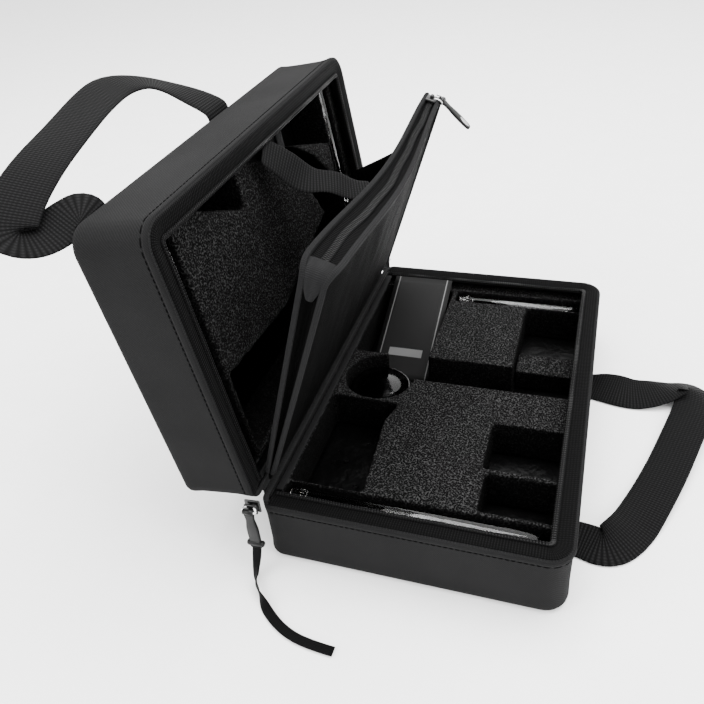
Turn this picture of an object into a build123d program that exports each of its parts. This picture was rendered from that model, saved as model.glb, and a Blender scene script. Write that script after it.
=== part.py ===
"""Small zip-round carry case with foam trays, a zip-topped divider pouch and two webbing handles.

Frame: millimetres, +Z up. The origin is the centre of the base shell's underside. The hinge edge is on -X,
the free edge on +X, and the length runs along Y with the front at -Y. The case stands open: the lid has
turned back about the hinge line, and the divider leans between the lid and the base.

Both shells are made as trays that open upward (x, y in plan, z from the tray's big face to its rim).
The lid's tray is then turned over onto the base and swung open about the hinge line. The divider is made
lying in the hinge plane and swung up. "Along" is the distance from the hinge line towards the free edge,
"from_front" the distance from the front wall, and "rise" the distance above the hinge plane when closed.
"""
import os
from math import cos, pi, radians, sin
from build123d import *

os.makedirs("parts", exist_ok=True)

# Case
case_width = 160.0  # hinge edge to free edge
case_length = 250.0  # along the hinge
base_depth = 43.0
lid_depth = 44.0
lid_open = 98.0  # degrees from closed
divider_open = 72.0  # degrees from the base's rim plane
hinge_corner_radius = 8.0
free_corner_radius = 12.5
face_edge_radius = 5.0

# Shell build-up
wall = 3.0
rim_drop = 1.2  # the rim stands this far below the hinge plane
layer_gap = 0.1
lining = 0.8
board = 1.9
floor_foam = 3.9
foam_recess = 9.0  # the foam's top stands this far below the hinge plane
welt_height = 3.2
welt_stand = 0.65

# Main zip
tape_width = 11.0
tape_edge_inset = 1.0
tape_thickness = 0.6
tape_slope_drop = 1.6
coil_width = 2.4
coil_edge_gap = 0.8
coil_height = 0.5

# Foam layout, in distances along and from the front
tube_side_gap = 0.75  # between a tube and its channel's walls
tube_channel_inset = 14.0
tube_cover = 0.6  # the foam's top stands this far above a tube
tray_border = 6.0
jar_recess_gap = 3.5
jar_along = 30.0
jar_from_front = 126.5
riser_height = 15.0

# Clear tubes and jar
tube_radius = 5.5
tube_wall = 0.7
tube_cap_length = 11.0
tube_neck_length = 8.0
tube_neck_radius = 4.6
thread_clearance = 0.1
jar_radius = 18.5
jar_wall = 1.2
jar_height = 15.0
jar_lid_skirt = 7.0
jar_lid_top = 1.6

# Card
card_width = 43.0
card_length = 88.0
card_thickness = 0.5
card_tilt = 22.0
card_along = 12.5
card_from_front = 154.0

# Divider pouch
divider_side_gap = 0.6  # between the pouch's ends and the tapes' free edges
divider_start = 11.0
divider_top_gap = 3.4  # between the pouch's top and the tape's free edge
pouch_half_root = 1.6
pouch_half_top = 5.5
panel_thickness = 1.4
binding_width = 1.5
flap_start = 4.5
flap_thickness = 1.2
pouch_zip_height = 1.5
pouch_coil_half = 1.3
pouch_coil_end_gap = 4.0
pouch_slider_from_front = 226.0
pouch_slider_half = 3.8
pouch_slider_height = 2.8
pull_fold_angle = -45.0

# Webbing
webbing_width = 25.0
webbing_thickness = 1.7
handle_spacing = 132.0
base_handle_offset = -8.0  # the handle's middle, from the middle of the length
lid_handle_offset = -38.0
handle_sewn_length = 50.0
handle_pivot_out = 3.0  # the handle bends this far outside the free wall
handle_bend_gap = 1.2
lid_handle_raise = 76.0  # degrees up from straight out
strap_width = 22.0
strap_thickness = 1.4

# Fabric over the hinge
spine_leaf = 14.0  # each leaf's reach from the hinge line
spine_bend = 2.0
spine_thickness = 0.8

# Elastic loop in the lid
loop_tab_length = 14.0
loop_tab_span = (143.0, 151.0)
loop_tab_drop = 6.6
loop_tab_height = 2.0
loop_tab_slit = 0.6
loop_tab_from_free = 13.0

# Zip sliders and pulls
slider_length = 9.0
slider_height = 8.4
slider_thickness = 4.0
slider_gap = 0.5
slider_past_corner = 2.0
slider_rounding = 2.0
bail_radius = 0.6
pull_width = 6.5
pull_eye_radius = 1.5
pull_thickness = 1.4
pull_end_rounding = 0.4  # of the pull's width
main_pull_thickness = 2.0
main_pull_length = 26.0
main_pull_bar = (10.0, 3.2, 3.0)
main_pull_bar_rounding = 1.2
pouch_pull_length = 24.0
bail_clearance = 0.2

half_width = case_width / 2
half_length = case_length / 2
hinge_x = -half_width
hinge_line = Axis((hinge_x, 0, base_depth), (0, 1, 0))
board_bottom = wall + layer_gap
floor_bottom = board_bottom + board
tray_bottom = floor_bottom + floor_foam + layer_gap
inner_inset = wall + lining + 3 * layer_gap
slim = 0.3  # the least running gap between pieces that move past each other


def save(shape, name, color):
    """Write one sub-part to its own STEP file."""
    shape.label = name
    shape.color = Color(*color)
    export_step(shape, f"parts/{name}.step")


def plan(inset):
    """The case's rounded plan outline, moved inward by inset."""
    face = Rectangle(case_width - 2 * inset, case_length - 2 * inset)
    hinge_radius = max(hinge_corner_radius - inset, 0.5)
    free_radius = max(free_corner_radius - inset, 0.5)
    face = fillet(face.vertices().group_by(Axis.X)[0], hinge_radius)
    return fillet(face.vertices().group_by(Axis.X)[-1], free_radius)


def slab(inset, low, high):
    return Pos(0, 0, low) * extrude(plan(inset), high - low)


def block(low, high):
    """A box between two corners."""
    size = [b - a for a, b in zip(low, high)]
    middle = [(a + b) / 2 for a, b in zip(low, high)]
    return Pos(*middle) * Box(*size)


def cut_box(along, from_front, low, high):
    """A box given by its spans along and from the front, and its heights."""
    corner_a = (hinge_x + along[0], from_front[0] - half_length, low)
    corner_b = (hinge_x + along[1], from_front[1] - half_length, high)
    return block(corner_a, corner_b)


def cut_shape(points, low, high):
    """A prism over an outline given along and from the front."""
    corners = [(hinge_x + a, f - half_length) for a, f in points]
    return Pos(0, 0, low) * extrude(make_face(Polyline(*corners, close=True)), high - low)


def three_sides(ring, inner):
    """Keep what lies on the front, free and back sides of a ring whose inner edge is inset by inner."""
    keep_from = hinge_x + hinge_corner_radius / 2
    reach = case_length
    ring = ring - block((hinge_x - reach, -reach, -reach), (keep_from, reach, reach))
    inside = half_length - inner
    return ring - block((hinge_x - reach, -inside, -reach), (hinge_x + inner + 1, inside, reach))


def on_base(tray):
    return tray


def on_lid(tray):
    """Turn a tray shape over onto the base and swing it open."""
    turned = Pos(0, 0, base_depth + lid_depth) * mirror(tray, about=Plane.XY)
    return turned.rotate(hinge_line, -lid_open)


def on_divider(shape):
    """Swing a shape made in the hinge plane up to the divider's rest place."""
    return shape.rotate(hinge_line, -divider_open)


def opened(along, rise, angle):
    """The X and Z of a point given along and above the hinge plane, after opening by angle."""
    a = radians(angle)
    return hinge_x + along * cos(a) - rise * sin(a), base_depth + along * sin(a) + rise * cos(a)


def lid_point(along, rise):
    return opened(along, rise, lid_open)


def divider_point(along, rise):
    return opened(along, rise, divider_open)


def side_face(points):
    """A face in the XZ plane through a list of X, Z points."""
    return make_face(Polyline(*[(x, 0, z) for x, z in points], close=True))


def side_prism(points, y_low, y_high):
    """A prism along Y over an outline of X, Z points."""
    return Pos(0, y_high, 0) * extrude(side_face(points), y_high - y_low, dir=(0, -1, 0))


# Shells, linings, boards and zips


def handle_ends_y(offset):
    return offset - handle_spacing / 2, offset + handle_spacing / 2


def handle_grooves(offset):
    """The shallow seats that the sewn webbing ends press into the big face."""
    seats = []
    for y in handle_ends_y(offset):
        low = (half_width - handle_sewn_length - slim, y - webbing_width / 2 - slim, -1)
        high = (half_width + 1, y + webbing_width / 2 + slim, webbing_thickness + layer_gap)
        seats.append(block(low, high))
    return seats


def tray_shell(depth, handle_offset):
    """The fabric-covered shell: five padded walls with a rounded outer edge."""
    outer = slab(0, 0, depth - rim_drop)
    outer = fillet(outer.faces().sort_by(Axis.Z)[0].edges(), face_edge_radius)
    shell = outer - slab(wall, wall, depth)
    for seat in handle_grooves(handle_offset):
        shell = shell - seat
    return shell


def tray_board(depth):
    return slab(inner_inset, board_bottom, board_bottom + board)


def tray_lining(depth):
    low = board_bottom
    high = depth - rim_drop - lining
    inside = wall + layer_gap
    return slab(inside, low, high) - slab(inside + lining, low - 1, high + 1)


def tray_welt(depth):
    """A narrow fabric welt sewn round the outside of the rim, except along the hinge."""
    high = depth - rim_drop
    ring = slab(-layer_gap / 2 - welt_stand, high - welt_height, high)
    ring = ring - slab(-layer_gap / 2, high - welt_height - 1, high + 1)
    return three_sides(ring, 0)


tape_inner_inset = tape_edge_inset + tape_width
tape_slope_start = wall + layer_gap  # the tape is flat over the wall and slopes down inward from here
tape_low_drop = rim_drop - layer_gap / 2  # the tape's underside, below the hinge plane


def sloped_well(rim_height):
    """The space above a surface that starts at rim_height over the wall and slopes down inward."""
    wide = Pos(0, 0, rim_height) * plan(tape_slope_start)
    narrow = Pos(0, 0, rim_height - tape_slope_drop) * plan(tape_inner_inset)
    return loft(Sketch() + [narrow, wide])


def tray_zip_tape(depth):
    """Half of the zip's tape, sewn to the rim and folded inward."""
    low = depth - tape_low_drop
    high = low + tape_thickness
    outer_solid = sloped_well(low) + slab(tape_edge_inset, low, high)
    well = sloped_well(high) + slab(tape_inner_inset, low - tape_slope_drop - 1, high)
    return three_sides(outer_solid - well, tape_inner_inset)


def tray_zip_coil(depth):
    """The coil of teeth along the tape's free edge."""
    inner = tape_inner_inset - coil_edge_gap
    outer = inner - coil_width
    share = (outer - tape_slope_start) / (tape_inner_inset - tape_slope_start)
    low = depth - tape_low_drop + tape_thickness - tape_slope_drop * share + layer_gap
    ring = slab(outer, low, low + coil_height) - slab(inner, low - 1, low + coil_height + 1)
    return three_sides(ring, inner)


def tray_hinge_binding(depth):
    """The binding tape over the raw edge along the hinge."""
    top = depth - 1.5
    ends = half_length - tape_inner_inset - 1
    return block((hinge_x + inner_inset, -ends, top - 1.2), (hinge_x + inner_inset + 4.2, ends, top))


def tray_floor_foam(depth):
    return slab(inner_inset, floor_bottom, floor_bottom + floor_foam)


# Foam trays


def foam_top(depth):
    return depth - foam_recess


tube_channel_width = 2 * (tube_radius + tube_side_gap)
tube_channel_depth = 2 * tube_radius + tube_cover
jar_recess_radius = jar_radius + jar_recess_gap


def tube_channel(depth, along, front):
    """A shallow channel that holds one tube, along the front or the back wall."""
    low = foam_top(depth) - tube_channel_depth
    start = tube_channel_inset if front else case_length - tube_channel_inset - tube_channel_width
    return cut_box(along, (start, start + tube_channel_width), low, depth)


free_end = case_width - tray_border  # where cut-outs stop beside the free wall
front_span = (tray_border, free_end)
back_span = (60.0, free_end)
lid_back_span = (62.0, free_end)

base_long_recess = ((jar_along, 151.0), (128.0, 152.0))
base_corner_recess = ((112.0, 151.0), (150.0, 222.0))
base_card_recess = ((tray_border, 56.0), (151.0, 236.0))
base_riser = ((112.5, 150.5), (161.0, 181.0))
base_big_recess = [(tray_border, 28.5), (48.0, 28.5), (44.0, 86.0), (49.0, 102.5), (tray_border, 102.5)]
base_square_recesses = [((108.0, 150.5), (60.0, 97.0)), ((110.0, 150.5), (29.5, 56.5))]


def base_foam():
    """The die-cut foam tray in the base."""
    high = base_depth
    low = tray_bottom - 1
    foam = slab(inner_inset, tray_bottom, foam_top(base_depth))
    for along, from_front in [base_long_recess, base_corner_recess, base_card_recess] + base_square_recesses:
        foam = foam - cut_box(along, from_front, low, high)
    foam = foam - cut_shape(base_big_recess, low, high)
    jar_place = Pos(hinge_x + jar_along, jar_from_front - half_length, (low + high) / 2)
    foam = foam - jar_place * Cylinder(jar_recess_radius, high - low)
    foam = foam - tube_channel(base_depth, front_span, True)
    return foam - tube_channel(base_depth, back_span, False)


def lid_cut_face():
    """The large curved cut-out beside the lid's foam plateau."""
    def at(along, from_front):
        return (hinge_x + along, from_front - half_length)

    edge = [
        Line(at(150, 108), at(144, 108)),
        ThreePointArc(at(144, 108), at(122, 152), at(76, 187)),
        ThreePointArc(at(76, 187), at(68, 150), at(56, 104)),
        Line(at(56, 104), at(62, 30)),
        Line(at(62, 30), at(10, 30)),
        Line(at(10, 30), at(10, 221)),
        Line(at(10, 221), at(150, 221)),
        Line(at(150, 221), at(150, 108)),
    ]
    return make_face(edge)


lid_notch = [(150.0, 38.0), (150.0, 94.0), (124.0, 93.0)]
lid_island = [(131.0, 165.0), (112.0, 219.0), (84.0, 219.0), (113.0, 193.0)]


def lid_foam():
    """The die-cut foam tray in the lid."""
    high = lid_depth
    low = tray_bottom - 1
    foam = slab(inner_inset, tray_bottom, foam_top(lid_depth))
    foam = foam - Pos(0, 0, low) * extrude(lid_cut_face(), high - low)
    foam = foam - cut_shape(lid_notch, low, high)
    foam = foam - tube_channel(lid_depth, front_span, True)
    return foam - tube_channel(lid_depth, lid_back_span, False)


def lid_foam_island():
    """A loose foam wedge glued to the lid's floor foam."""
    return cut_shape(lid_island, tray_bottom, foam_top(lid_depth))


# Tubes, jar and card


def tube_axis(depth, front):
    """The Y and Z of a tube's centre line in its channel."""
    inset = tube_channel_inset + tube_channel_width / 2
    y = inset - half_length if front else half_length - inset
    return y, foam_top(depth) - tube_channel_depth + layer_gap + tube_radius


def rod(start, end, y, z, radius):
    """A cylinder along X."""
    return Pos((start + end) / 2, y, z) * Rot(0, 90, 0) * Cylinder(radius, end - start)


def tube_body(depth, along, front):
    """A clear tube with a closed far end and a narrower threaded neck."""
    y, z = tube_axis(depth, front)
    start = hinge_x + along[0] + tube_cap_length
    end = hinge_x + along[1]
    shoulder = start + layer_gap
    body = rod(shoulder, end, y, z, tube_radius)
    body = body + rod(start - tube_neck_length, shoulder, y, z, tube_neck_radius)
    bore = tube_neck_radius - tube_wall
    return body - rod(start - tube_neck_length - 1, end - tube_wall, y, z, bore)


def tube_cap(depth, along, front):
    """The screw cap over a tube's neck."""
    y, z = tube_axis(depth, front)
    start = hinge_x + along[0]
    end = start + tube_cap_length
    cap = rod(start, end, y, z, tube_radius)
    socket_start = end - tube_neck_length - 0.5
    return cap - rod(socket_start, end + 1, y, z, tube_neck_radius + thread_clearance)


tube_places = {
    "base_front_tube": (base_depth, (8.0, 143.0), True, on_base),
    "base_back_tube": (base_depth, (62.0, 146.0), False, on_base),
    "lid_front_tube": (lid_depth, (12.0, 138.0), True, on_lid),
    "lid_back_tube": (lid_depth, (64.0, 146.0), False, on_lid),
}


def jar_at(z):
    return Pos(hinge_x + jar_along, jar_from_front - half_length, z)


jar_bottom = tray_bottom + layer_gap


def jar_body():
    """A low round pot."""
    pot = jar_at(jar_bottom + jar_height / 2) * Cylinder(jar_radius, jar_height)
    inside = jar_height - jar_wall
    return pot - jar_at(jar_bottom + jar_wall + inside / 2) * Cylinder(jar_radius - jar_wall, inside)


def jar_lid():
    """The pot's screw lid, with a skirt outside the pot's wall."""
    skirt_low = jar_bottom + jar_height - jar_lid_skirt
    top_low = jar_bottom + jar_height + layer_gap
    outer = jar_radius + thread_clearance + jar_wall
    height = top_low + jar_lid_top - skirt_low
    cover = jar_at(skirt_low + height / 2) * Cylinder(outer, height)
    hollow = top_low - skirt_low
    return cover - jar_at(skirt_low + hollow / 2) * Cylinder(jar_radius + thread_clearance, hollow)


card_pivot_z = tray_bottom + 0.5


def card():
    """A plain card that leans from the recess floor towards the back rim."""
    flat = Pos(0, card_length / 2, 0) * Box(card_width, card_length, card_thickness)
    tipped = Rot(card_tilt, 0, 0) * flat
    return Pos(hinge_x + card_along + card_width / 2, card_from_front - half_length, card_pivot_z) * tipped


# Handles


def handle_sewn_ends(offset):
    """The two webbing ends sewn flat into the big face, as far as the bend outside the free wall."""
    ends = []
    reach = half_width + handle_pivot_out - handle_bend_gap - slim
    for y in handle_ends_y(offset):
        low = (half_width - handle_sewn_length, y - webbing_width / 2, 0)
        ends.append(block(low, (reach, y + webbing_width / 2, webbing_thickness)))
    return ends


def handle_loop(route, radii):
    """The free loop: flat webbing along a route of outward and lengthwise points from the bend."""
    pivot = half_width + handle_pivot_out
    z = webbing_thickness / 2
    line = FilletPolyline(*[(pivot + u, v, z) for u, v in route], radius=radii)
    start = Plane(origin=line @ 0, z_dir=line % 0, x_dir=(0, 0, 1))
    loop = sweep(start * Rectangle(webbing_thickness, webbing_width), path=line)
    low = (pivot - webbing_width, -half_length, -1)
    bend = block(low, (pivot + handle_bend_gap, half_length, webbing_width))
    return loop - bend


base_handle_low, base_handle_high = handle_ends_y(base_handle_offset)
base_handle_route = [
    (handle_bend_gap, base_handle_low),
    (24.0, base_handle_low - 2),
    (56.0, base_handle_low + 38),
    (60.0, base_handle_high - 8),
    (42.0, base_handle_high + 4),
    (handle_bend_gap, base_handle_high),
]
lid_handle_low, lid_handle_high = handle_ends_y(lid_handle_offset)
lid_handle_route = [
    (handle_bend_gap, lid_handle_low),
    (42.0, lid_handle_low - 14),
    (72.0, lid_handle_low + 10),
    (78.0, lid_handle_high - 34),
    (52.0, lid_handle_high),
    (handle_bend_gap, lid_handle_high),
]
handle_radii = [16.0, 20.0, 20.0, 16.0]


def raise_lid_handle(shape):
    """Turn the lid's loop up from straight out, in the tray's own frame."""
    pivot = Axis((half_width + handle_pivot_out, 0, webbing_thickness / 2), (0, 1, 0))
    return shape.rotate(pivot, lid_handle_raise)


# Divider pouch


def in_hinge_plane(points):
    """Outline points given along and above the hinge plane, as X and Z while closed."""
    return [(hinge_x + a, base_depth + r) for a, r in points]


def cross_section(low, high, half_low, half_high):
    """A section that spans low to high along, with a half thickness at each end."""
    corners = [(low, -half_low), (high, -half_high), (high, half_high), (low, half_low)]
    return in_hinge_plane(corners)


divider_reach = case_width - tape_inner_inset - divider_top_gap


def pouch_half(along):
    """Half the pouch's thickness at a distance from the hinge."""
    share = (along - divider_start) / (divider_reach - divider_start)
    return pouch_half_root + (pouch_half_top - pouch_half_root) * share


def panel_outline(reach, side):
    outer = [(divider_start, pouch_half(divider_start)), (reach, pouch_half(reach))]
    inner = [(a, h - panel_thickness) for a, h in reversed(outer)]
    return in_hinge_plane([(a, side * h) for a, h in outer + inner])


divider_half = half_length - tape_inner_inset - divider_side_gap
panel_half = divider_half - binding_width
panel_reach = divider_reach - binding_width


def divider_panel(side):
    return side_prism(panel_outline(panel_reach - layer_gap, side), -panel_half, panel_half)


def divider_binding(side):
    """The binding round a panel's two ends and its top edge."""
    whole = side_prism(panel_outline(divider_reach, side), -divider_half, divider_half)
    inside = panel_half + layer_gap
    window = cross_section(divider_start - 1, panel_reach, foam_recess, foam_recess)
    return whole - side_prism(window, -inside, inside)


def divider_side_gussets():
    """The two narrow wedges of fabric that close the pouch's ends."""
    wedge = []
    for along in (divider_start + 2, panel_reach - 2.5):
        wedge.append((along, pouch_half(along) - panel_thickness - layer_gap))
    outline = in_hinge_plane(wedge + [(a, -h) for a, h in reversed(wedge)])
    outer = panel_half - 0.5
    return [side_prism(outline, outer - 1, outer), side_prism(outline, -outer, 1 - outer)]


pouch_tape_low = panel_reach - 2.2
pouch_tape_high = panel_reach - 1.2


def divider_zip_tape():
    half = pouch_half(pouch_tape_low) - panel_thickness - layer_gap
    return side_prism(cross_section(pouch_tape_low, pouch_tape_high, half, half), -panel_half, panel_half)


def divider_zip_coil():
    low = pouch_tape_high + layer_gap
    section = cross_section(low, low + pouch_zip_height, pouch_coil_half, pouch_coil_half)
    end = panel_half - pouch_coil_end_gap
    return side_prism(section, -end, end)


def divider_flap():
    """The fabric flap that joins the pouch's foot to the hinge seam."""
    half = flap_thickness / 2
    section = cross_section(flap_start, divider_start - layer_gap, half, half)
    return side_prism(section, -panel_half, panel_half)


pouch_slider_y = pouch_slider_from_front - half_length
pouch_slider_low = pouch_tape_high + layer_gap + pouch_zip_height + slim
pouch_slider_high = pouch_slider_low + pouch_slider_height
pouch_pull_along = divider_reach + 1.0
pouch_pull_rise = -(pouch_half_top + pull_eye_radius)
bail_arm = 1.2
bail_span = pull_width / 2 + slim


def pouch_slider():
    half_high = pouch_slider_half - 0.6
    section = cross_section(pouch_slider_low, pouch_slider_high, pouch_slider_half, half_high)
    half = slider_length / 2
    return side_prism(section, pouch_slider_y - half, pouch_slider_y + half)


def pouch_bail():
    """The wire bail on the pouch's slider: two arms and the pin that the pull turns on."""
    bottom = pouch_pull_rise - bail_arm / 2
    root = -pouch_slider_half - layer_gap
    arm = [(divider_reach + slim, root), (pouch_slider_high - slim, root)]
    arm = arm + [(pouch_pull_along + bail_arm / 2, bottom), (pouch_pull_along - bail_arm / 2, bottom)]
    arms = []
    for side in (-1, 1):
        near = pouch_slider_y + side * bail_span
        far = near + side * bail_arm
        arms.append(side_prism(in_hinge_plane(arm), min(near, far), max(near, far)))
    pin_place = Pos(hinge_x + pouch_pull_along, pouch_slider_y, base_depth + pouch_pull_rise)
    pin = pin_place * Rot(90, 0, 0) * Cylinder(bail_radius, 2 * bail_span)
    return arms[0] + arms[1] + pin


def hanging_pull(length, width, thickness):
    """A pull with its eye at the origin, its pin along X, hanging towards -Z."""
    eye = Rot(0, 90, 0) * Cylinder(pull_eye_radius, width)
    stem = block((-width / 2, -thickness / 2, -length), (width / 2, thickness / 2, 0))
    rounded = fillet(stem.edges().filter_by(Axis.Y).sort_by(Axis.Z)[:2], pull_end_rounding * width)
    hole = Rot(0, 90, 0) * Cylinder(bail_radius + bail_clearance, width + 2)
    return rounded + eye - hole


def pouch_pull():
    """The pouch's pull, at its rest angle about the pin."""
    x, z = divider_point(pouch_pull_along, pouch_pull_rise)
    pull = hanging_pull(pouch_pull_length, pull_width, pull_thickness)
    along_y = Rot(0, 0, 90) * pull
    return Pos(x, pouch_slider_y, z) * Rot(0, -90 - pull_fold_angle, 0) * along_y


# Main zip sliders, at the hinge corners

slider_x = hinge_x - slider_past_corner
slider_face = half_length + welt_stand + slider_gap
pin_out = slider_face + slider_thickness + pull_eye_radius + 0.6
pin_z = base_depth + 0.5


def main_slider(side):
    """A slider on the outside of the closed zip line."""
    half = slider_length / 2
    near = side * slider_face
    far = side * (slider_face + slider_thickness)
    low = (slider_x - half, min(near, far), base_depth - slider_height / 2)
    high = (slider_x + half, max(near, far), base_depth + slider_height / 2)
    body = block(low, high)
    return fillet(body.edges().filter_by(Axis.Y), slider_rounding)


def main_bail(side):
    """The bail: two arms out of the slider's face and the pin between them."""
    near = side * (slider_face + slider_thickness + layer_gap)
    far = side * (pin_out + bail_radius)
    arms = []
    for hand in (-1, 1):
        inner = slider_x + hand * bail_span
        outer = inner + hand * bail_arm
        low = (min(inner, outer), min(near, far), pin_z - bail_radius)
        high = (max(inner, outer), max(near, far), pin_z + bail_radius)
        arms.append(block(low, high))
    pin = rod(slider_x - bail_span, slider_x + bail_span, side * pin_out, pin_z, bail_radius)
    return arms[0] + arms[1] + pin


def main_pull(side):
    """A moulded tab with a T-shaped end."""
    tab = hanging_pull(main_pull_length, pull_width, main_pull_thickness)
    bar = Pos(0, 0, main_pull_bar[2] / 2 - main_pull_length) * Box(*main_pull_bar)
    bar = fillet(bar.edges().filter_by(Axis.X), main_pull_bar_rounding)
    return Pos(slider_x, side * pin_out, pin_z) * (tab + bar)


ribbon_thickness = 2.4
ribbon_start = (slider_x, -pin_out, pin_z - main_pull_length - 1.4)
ribbon_route = [
    ribbon_start,
    (slider_x - 0.5, -pin_out - 1.5, 9.5),
    (slider_x + 0.5, -pin_out - 8.5, 2.4),
    (slider_x + 6.0, -pin_out - 18.0, 1.3),
    (slider_x + 15.0, -pin_out - 27.0, 1.25),
    (slider_x + 27.0, -pin_out - 35.0, 1.25),
    (slider_x + 41.0, -pin_out - 39.0, 1.25),
    (slider_x + 56.0, -pin_out - 39.5, 1.25),
]


def bend_radii(route):
    """For each corner of a route, the largest arc that its two runs allow."""
    points = [Vector(*p) for p in route]
    radii = []
    for before, here, after in zip(points, points[1:], points[2:]):
        turn = (here - before).get_angle(after - here)
        shorter = min((here - before).length, (after - here).length)
        half_turn = radians(turn / 2)
        radii.append(0.45 * shorter * cos(half_turn) / sin(half_turn))
    return radii


def ribbon():
    """The ribbon tail knotted to the front pull, as a plain round solid along its route."""
    line = FilletPolyline(*ribbon_route, radius=bend_radii(ribbon_route))
    section = Plane(origin=line @ 0, z_dir=line % 0) * Circle(ribbon_thickness / 2)
    tail = sweep(section, path=line)
    area = pi * (ribbon_thickness / 2) ** 2
    print("ribbon length", round(line.length, 1), "volume over section", round(tail.volume / area, 1))
    return tail


# Fabric that crosses the hinge


def spine_strip():
    """The fabric strip outside the hinge: one leaf on each shell's hinge wall, folded at the hinge line."""
    skin = -layer_gap
    face = skin - spine_thickness
    bend = spine_bend - slim
    base_leaf = [(skin, -spine_leaf), (skin, -bend)]
    lid_leaf = [(skin, bend), (skin, spine_leaf), (face, spine_leaf), (face, spine_bend)]
    points = [opened(a, r, 0) for a, r in base_leaf]
    points = points + [lid_point(a, r) for a, r in lid_leaf]
    points = points + [opened(face, -spine_bend, 0), opened(face, -spine_leaf, 0)]
    ends = half_length - hinge_corner_radius - 1
    return side_prism(points, -ends, ends)


strap_y = -6.0
strap_lid_along = case_width - 13.0
strap_lid_rise = 2.5
strap_divider_along = 118.0
strap_sag = 18.0
strap_sag_back = 3.0


def stay_strap():
    """The webbing stay from the lid's free rim to the pouch's lid-side panel, hanging slack."""
    lid_x, lid_z = lid_point(strap_lid_along, strap_lid_rise)
    end_x, end_z = divider_point(strap_divider_along, pouch_half(strap_divider_along) + 2 * slim)
    middle = ((lid_x + end_x) / 2 - strap_sag_back, (lid_z + end_z) / 2 - strap_sag)
    upper = ThreePointArc((lid_x, 0, lid_z), (middle[0], 0, middle[1]), (end_x, 0, end_z))
    lower = Pos(0, 0, -strap_thickness) * upper
    face = make_face([upper, Line(upper @ 1, lower @ 1), lower, Line(lower @ 0, upper @ 0)])
    return Pos(0, strap_y + strap_width / 2, 0) * extrude(face, strap_width, dir=(0, -1, 0))


gusset_lid_reach = 86.0
gusset_divider_reach = 112.0
gusset_thickness = 0.8
gusset_inset = 1.4
gusset_clear = 0.5


def back_gusset():
    """The triangle of fabric between the lid's back rim and the pouch's back end."""
    foot = divider_start + 3
    points = [
        lid_point(divider_start, 2 * gusset_clear),
        lid_point(gusset_lid_reach, 2 * gusset_clear),
        divider_point(gusset_divider_reach, pouch_half(gusset_divider_reach) + gusset_clear),
        divider_point(foot, pouch_half(foot) + gusset_clear),
    ]
    y = divider_half - gusset_inset
    return side_prism(points, y, y + gusset_thickness)


def lid_loop_tab():
    """A small elastic loop that hangs from the lid's free rim."""
    top = lid_depth - loop_tab_drop
    low = top - loop_tab_height
    end = case_width - loop_tab_from_free
    start = end - loop_tab_length
    outer = cut_box((start, end), loop_tab_span, low, top)
    slit_low = (low + top - loop_tab_slit) / 2
    slit_span = (loop_tab_span[0] - 1, loop_tab_span[1] + 1)
    return outer - cut_box((start + 1, end - 1), slit_span, slit_low, slit_low + loop_tab_slit)


# Colours for the plain model
grey = (0.20, 0.20, 0.21)
black = (0.05, 0.05, 0.05)
dark = (0.10, 0.10, 0.10)
binding_grey = (0.28, 0.28, 0.29)
foam_grey = (0.13, 0.13, 0.14)
clear_grey = (0.75, 0.78, 0.80)
metal = (0.6, 0.6, 0.6)

tray_pieces = {
    "board": (tray_board, black),
    "lining": (tray_lining, black),
    "welt": (tray_welt, grey),
    "zip_tape": (tray_zip_tape, black),
    "zip_coil": (tray_zip_coil, dark),
    "hinge_binding": (tray_hinge_binding, binding_grey),
    "floor_foam": (tray_floor_foam, black),
}
halves = (("base", base_depth, on_base, base_handle_offset), ("lid", lid_depth, on_lid, lid_handle_offset))
for prefix, depth, place, handle_offset in halves:
    save(place(tray_shell(depth, handle_offset)), f"{prefix}_shell", grey)
    for piece, (make, color) in tray_pieces.items():
        save(place(make(depth)), f"{prefix}_{piece}", color)
    save(place(Compound(children=handle_sewn_ends(handle_offset))), f"{prefix}_handle_ends", dark)

save(base_foam(), "base_foam_tray", foam_grey)
save(cut_box(*base_riser, tray_bottom, tray_bottom + riser_height), "base_foam_riser", foam_grey)
save(on_lid(lid_foam()), "lid_foam_tray", foam_grey)
save(on_lid(lid_foam_island()), "lid_foam_wedge", foam_grey)
save(on_lid(lid_loop_tab()), "lid_loop_tab", dark)

for name, (depth, along, front, place) in tube_places.items():
    save(place(tube_body(depth, along, front)), name, clear_grey)
    save(place(tube_cap(depth, along, front)), f"{name}_cap", clear_grey)
save(jar_body(), "jar", dark)
save(jar_lid(), "jar_lid", clear_grey)
save(card(), "card", binding_grey)

save(handle_loop(base_handle_route, handle_radii), "base_handle", dark)
lid_loop = raise_lid_handle(handle_loop(lid_handle_route, handle_radii))
save(on_lid(lid_loop), "lid_handle", dark)

save(on_divider(divider_panel(-1)), "divider_base_panel", black)
save(on_divider(divider_panel(1)), "divider_lid_panel", black)
save(on_divider(divider_binding(-1)), "divider_base_binding", binding_grey)
save(on_divider(divider_binding(1)), "divider_lid_binding", binding_grey)
save(on_divider(Compound(children=divider_side_gussets())), "divider_end_gussets", black)
save(on_divider(divider_zip_tape()), "divider_zip_tape", black)
save(on_divider(divider_zip_coil()), "divider_zip_coil", dark)
save(on_divider(divider_flap()), "divider_flap", black)
save(on_divider(pouch_slider()), "divider_slider", dark)
save(on_divider(pouch_bail()), "divider_slider_bail", metal)
save(pouch_pull(), "divider_pull", dark)

for name, side in (("front", -1), ("back", 1)):
    save(main_slider(side), f"{name}_slider", dark)
    save(main_bail(side), f"{name}_slider_bail", metal)
    save(main_pull(side), f"{name}_pull", dark)
save(ribbon(), "ribbon_tail", dark)

save(spine_strip(), "spine_strip", grey)
save(stay_strap(), "stay_strap", dark)
save(back_gusset(), "back_gusset", black)
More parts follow.
